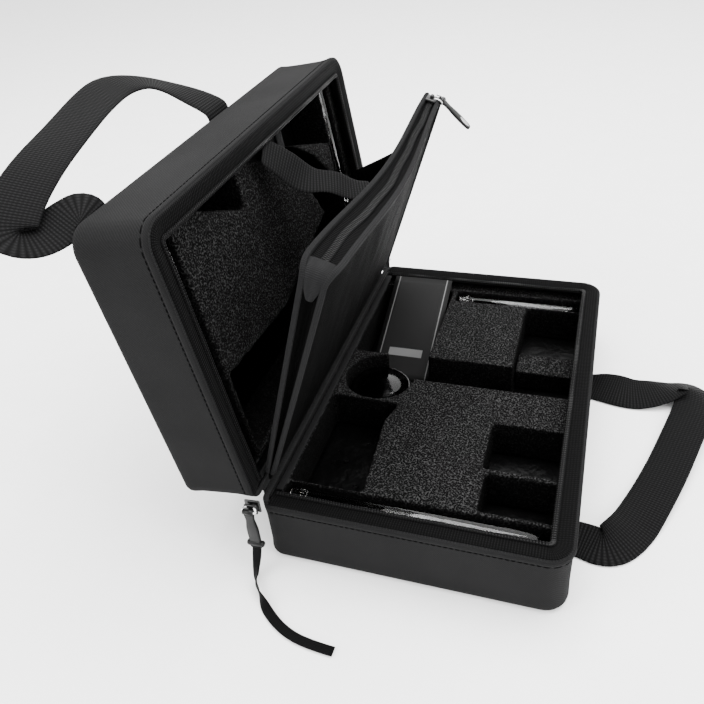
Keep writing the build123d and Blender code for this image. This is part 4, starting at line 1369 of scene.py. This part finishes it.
def back_gusset():
    """The triangle of cloth between the lid's back rim and the pouch's back end."""
    bm = bmesh.new()
    places = []
    for share in steps(0, 1, 0.08):
        near_lid = lid_spot(11 + share * 73, 1.5)
        near_pouch = divider_spot(14 + share * 96, pouch_rise(14 + share * 96, POUCH_END) - 0.6)
        middle = (near_lid + near_pouch) / 2
        across = (near_pouch - near_lid) / 2
        middle.y = 111.4
        places.append(scaled_place(middle, across.normalized(), ALONG, across.length))
    section = [(s, -1.6 * math.sin(math.pi * (s + 1) / 2)) for s in steps(-1, 1, 0.14)]
    sweep(bm, section, places, closed=False)
    for corner in bm.verts:
        corner.co.y += noise.noise(corner.co / 13) * 0.7
    piece = finish_piece(bm, "back_gusset_cloth", IN_BASE, panel_cloth, None, ["back_gusset"])
    sink_in(thicken(piece, 0.7, 0.0))
    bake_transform(piece, "lid", "divider", start=lid_spot(60, 1.5) * MM, end=divider_spot(75, 5.0) * MM)


def spine():
    """The strip of outer cloth folded outside the hinge."""
    leaf = 14.0
    route = [Vector((-HALF_WIDTH - 0.5, 0, HINGE_Z - leaf)), Vector((-HALF_WIDTH - 0.55, 0, HINGE_Z - 6)),
             Vector((-HALF_WIDTH - 0.8, 0, HINGE_Z - 2)), Vector((-HALF_WIDTH - 1.4, 0, HINGE_Z - 0.3)),
             lid_spot(-0.9, 2.2), lid_spot(-0.55, 6), lid_spot(-0.5, leaf)]
    line = even(smooth_line(route, 12), 1.0)
    bm = bmesh.new()
    places = [set_out(p, ALONG, UP) for p in line]
    sweep(bm, [(y, 0) for y in steps(-115.0, 115.0, 4.0)], places, closed=False)
    for corner in bm.verts:
        corner.co.x -= abs(noise.noise(Vector((corner.co.y / 12, corner.co.z / 20, 5)))) * 0.5
    piece = finish_piece(bm, "spine_cloth", IN_BASE, outer_cloth, None, ["spine_strip"])
    sink_in(thicken(piece, 0.8, 0.0))
    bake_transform(piece, "base", "lid", start=Vector((-0.0805, 0, 0.0405)), end=lid_spot(-0.5, 2.5) * MM)


def elastic_loop():
    """The small elastic loop sewn under the lid's free rim."""
    sewn = Vector((HALF_WIDTH - 13.0, 22.0, LID_DEPTH - 7.6))
    ring = [(0, 1.2), (-6, 1.0), (-13, 0.8), (-15, 0), (-13, -0.8), (-6, -0.9), (0, -0.6)]
    line = even(smooth_line([sewn + Vector((x, 0, z)) for x, z in ring], 8), 0.8)
    facings = [ALONG.cross(heading(line, n)) for n in range(len(line))]
    bm = bmesh.new()
    sweep(bm, strap_profile(8.0, 0.7), laid_along(line, facings))
    finish_piece(bm, "elastic_loop", IN_LID, binding_cloth, "lid", ["lid_loop_tab"], closed=True)


stay_strap()
back_gusset()
spine()
elastic_loop()


# Floor

def studio_floor():
    bm = bmesh.new()
    bmesh.ops.create_grid(bm, x_segments=4, y_segments=4, size=4.0)
    mesh = bpy.data.meshes.new("floor")
    bm.to_mesh(mesh)
    bm.free()
    ground = add_object("floor", mesh)
    paper = Finish("white_paper", (0.9, 0.9, 0.9), 0.9)
    grain = paper.speckle(40.0, 2.0)
    paper.colour(paper.ramp(grain, (0.3, 0.89), (0.7, 0.91)))
    mesh.materials.append(paper.material)


studio_floor()
